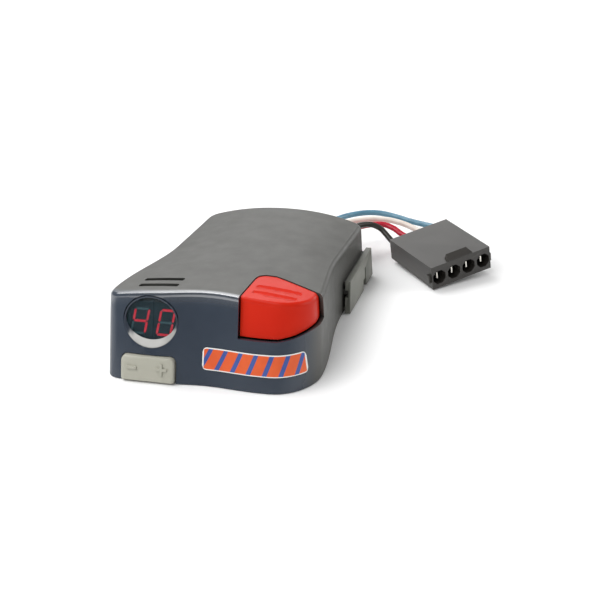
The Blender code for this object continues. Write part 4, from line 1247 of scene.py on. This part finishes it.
def build_camera():
    """Looks down on the front and right side, from near the front."""
    turn, tilt, roll = (math.radians(a) for a in CAMERA_ANGLES)
    ahead = Vector((-math.sin(turn) * math.cos(tilt), math.cos(turn) * math.cos(tilt), -math.sin(tilt)))
    right = Vector((math.cos(turn), math.sin(turn), 0.0))
    up = right.cross(ahead)
    across = right * math.cos(roll) + up * math.sin(roll)
    above = -right * math.sin(roll) + up * math.cos(roll)
    spot = place([CAMERA_AT])[0]
    data = bpy.data.cameras.new("camera")
    data.sensor_width = 36.0
    data.lens = CAMERA_LENS
    data.clip_start = 0.01
    camera = add_object("camera", data)
    columns = Matrix((across, above, -ahead)).transposed().to_4x4()
    camera.matrix_world = Matrix.Translation(spot) @ columns
    bpy.context.scene.camera = camera


def area_light(name, spot, target, size, power):
    data = bpy.data.lights.new(name, "AREA")
    data.shape = "RECTANGLE"
    data.size, data.size_y = size
    data.energy = power
    lamp = add_object(name, data)
    lamp.location = spot
    lamp.rotation_mode = "QUATERNION"
    lamp.rotation_quaternion = (Vector(target) - Vector(spot)).to_track_quat("-Z", "Y")


def build_studio():
    """Pale floor, soft lights and an even surround."""
    mesh = bpy.data.meshes.new("floor")
    sides = (-FLOOR_HALF, FLOOR_HALF)
    mesh.from_pydata([(x, y, -FLOOR_DROP) for x, y in rectangle(sides, sides)], [], [(0, 1, 2, 3)])
    floor = add_object("floor", mesh)
    look = Look("floor_paper")
    look.colour(look.tones(6.0, FLOOR_TONES))
    look.rough(12.0, 0.8, 0.9)
    mesh.materials.append(look.material)
    for light in LIGHTS:
        area_light(*light)
    world = bpy.data.worlds.new("studio")
    world.use_nodes = True
    background = world.node_tree.nodes["Background"]
    background.inputs["Color"].default_value = (1.0, 1.0, 1.0, 1.0)
    background.inputs["Strength"].default_value = WORLD_STRENGTH
    bpy.context.scene.world = world
    bpy.context.scene.view_settings.view_transform = "Standard"


def numbered(name):
    return [f"{name}_{number}" for number in range(1, 5)]


def dress_cad():
    """Finishes the CAD parts that keep their own shapes."""
    for look, nodes in (
        (metal("plated_steel", STEEL), ["override_pin", "key_pin"] + numbered("board_screw")),
        (metal("black_steel", BLACK_STEEL, (0.35, 0.5)), numbered("case_screw")),
        (metal("tinned_blade", TINNED, (0.18, 0.3)), numbered("plug_blade")),
        (metal("extruded_sink", ALUMINIUM, (0.3, 0.42), (1.0, 12.0, 1.0)), ["heat_sink"]),
        (moulded("plate_finish", PLATE_TONES, (0.45, 0.55), 1700.0, 0.3, 0.05), ["base_plate"]),
        (moulded("solder_mask", BOARD_TONES, (0.3, 0.42), 900.0, 0.15, 0.03),
         ["main_board", "display_board"]),
        (moulded("component_body", BLACK_TONES, (0.42, 0.52)),
         ["board_header", "controller_chip", "output_transistor",
          "key_switch_minus", "key_switch_plus"]),
        (moulded("digit_body", DIGIT_TONES, (0.35, 0.45)), ["digit_tens", "digit_units"]),
        (moulded("can_sleeve", CAN_TONES, (0.22, 0.3)), ["supply_capacitor"]),
        (moulded("sensor_body", SENSOR_TONES, (0.35, 0.45)), ["override_sensor"]),
    ):
        for node in nodes:
            paint(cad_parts[node], look)


build_camera()
cords = build_cords()
plug = build_plug()
build_housing()
build_button()
build_return_spring()
build_key()
build_display()
build_band()
build_clip()
build_grommet()
dress_cad()
build_studio()
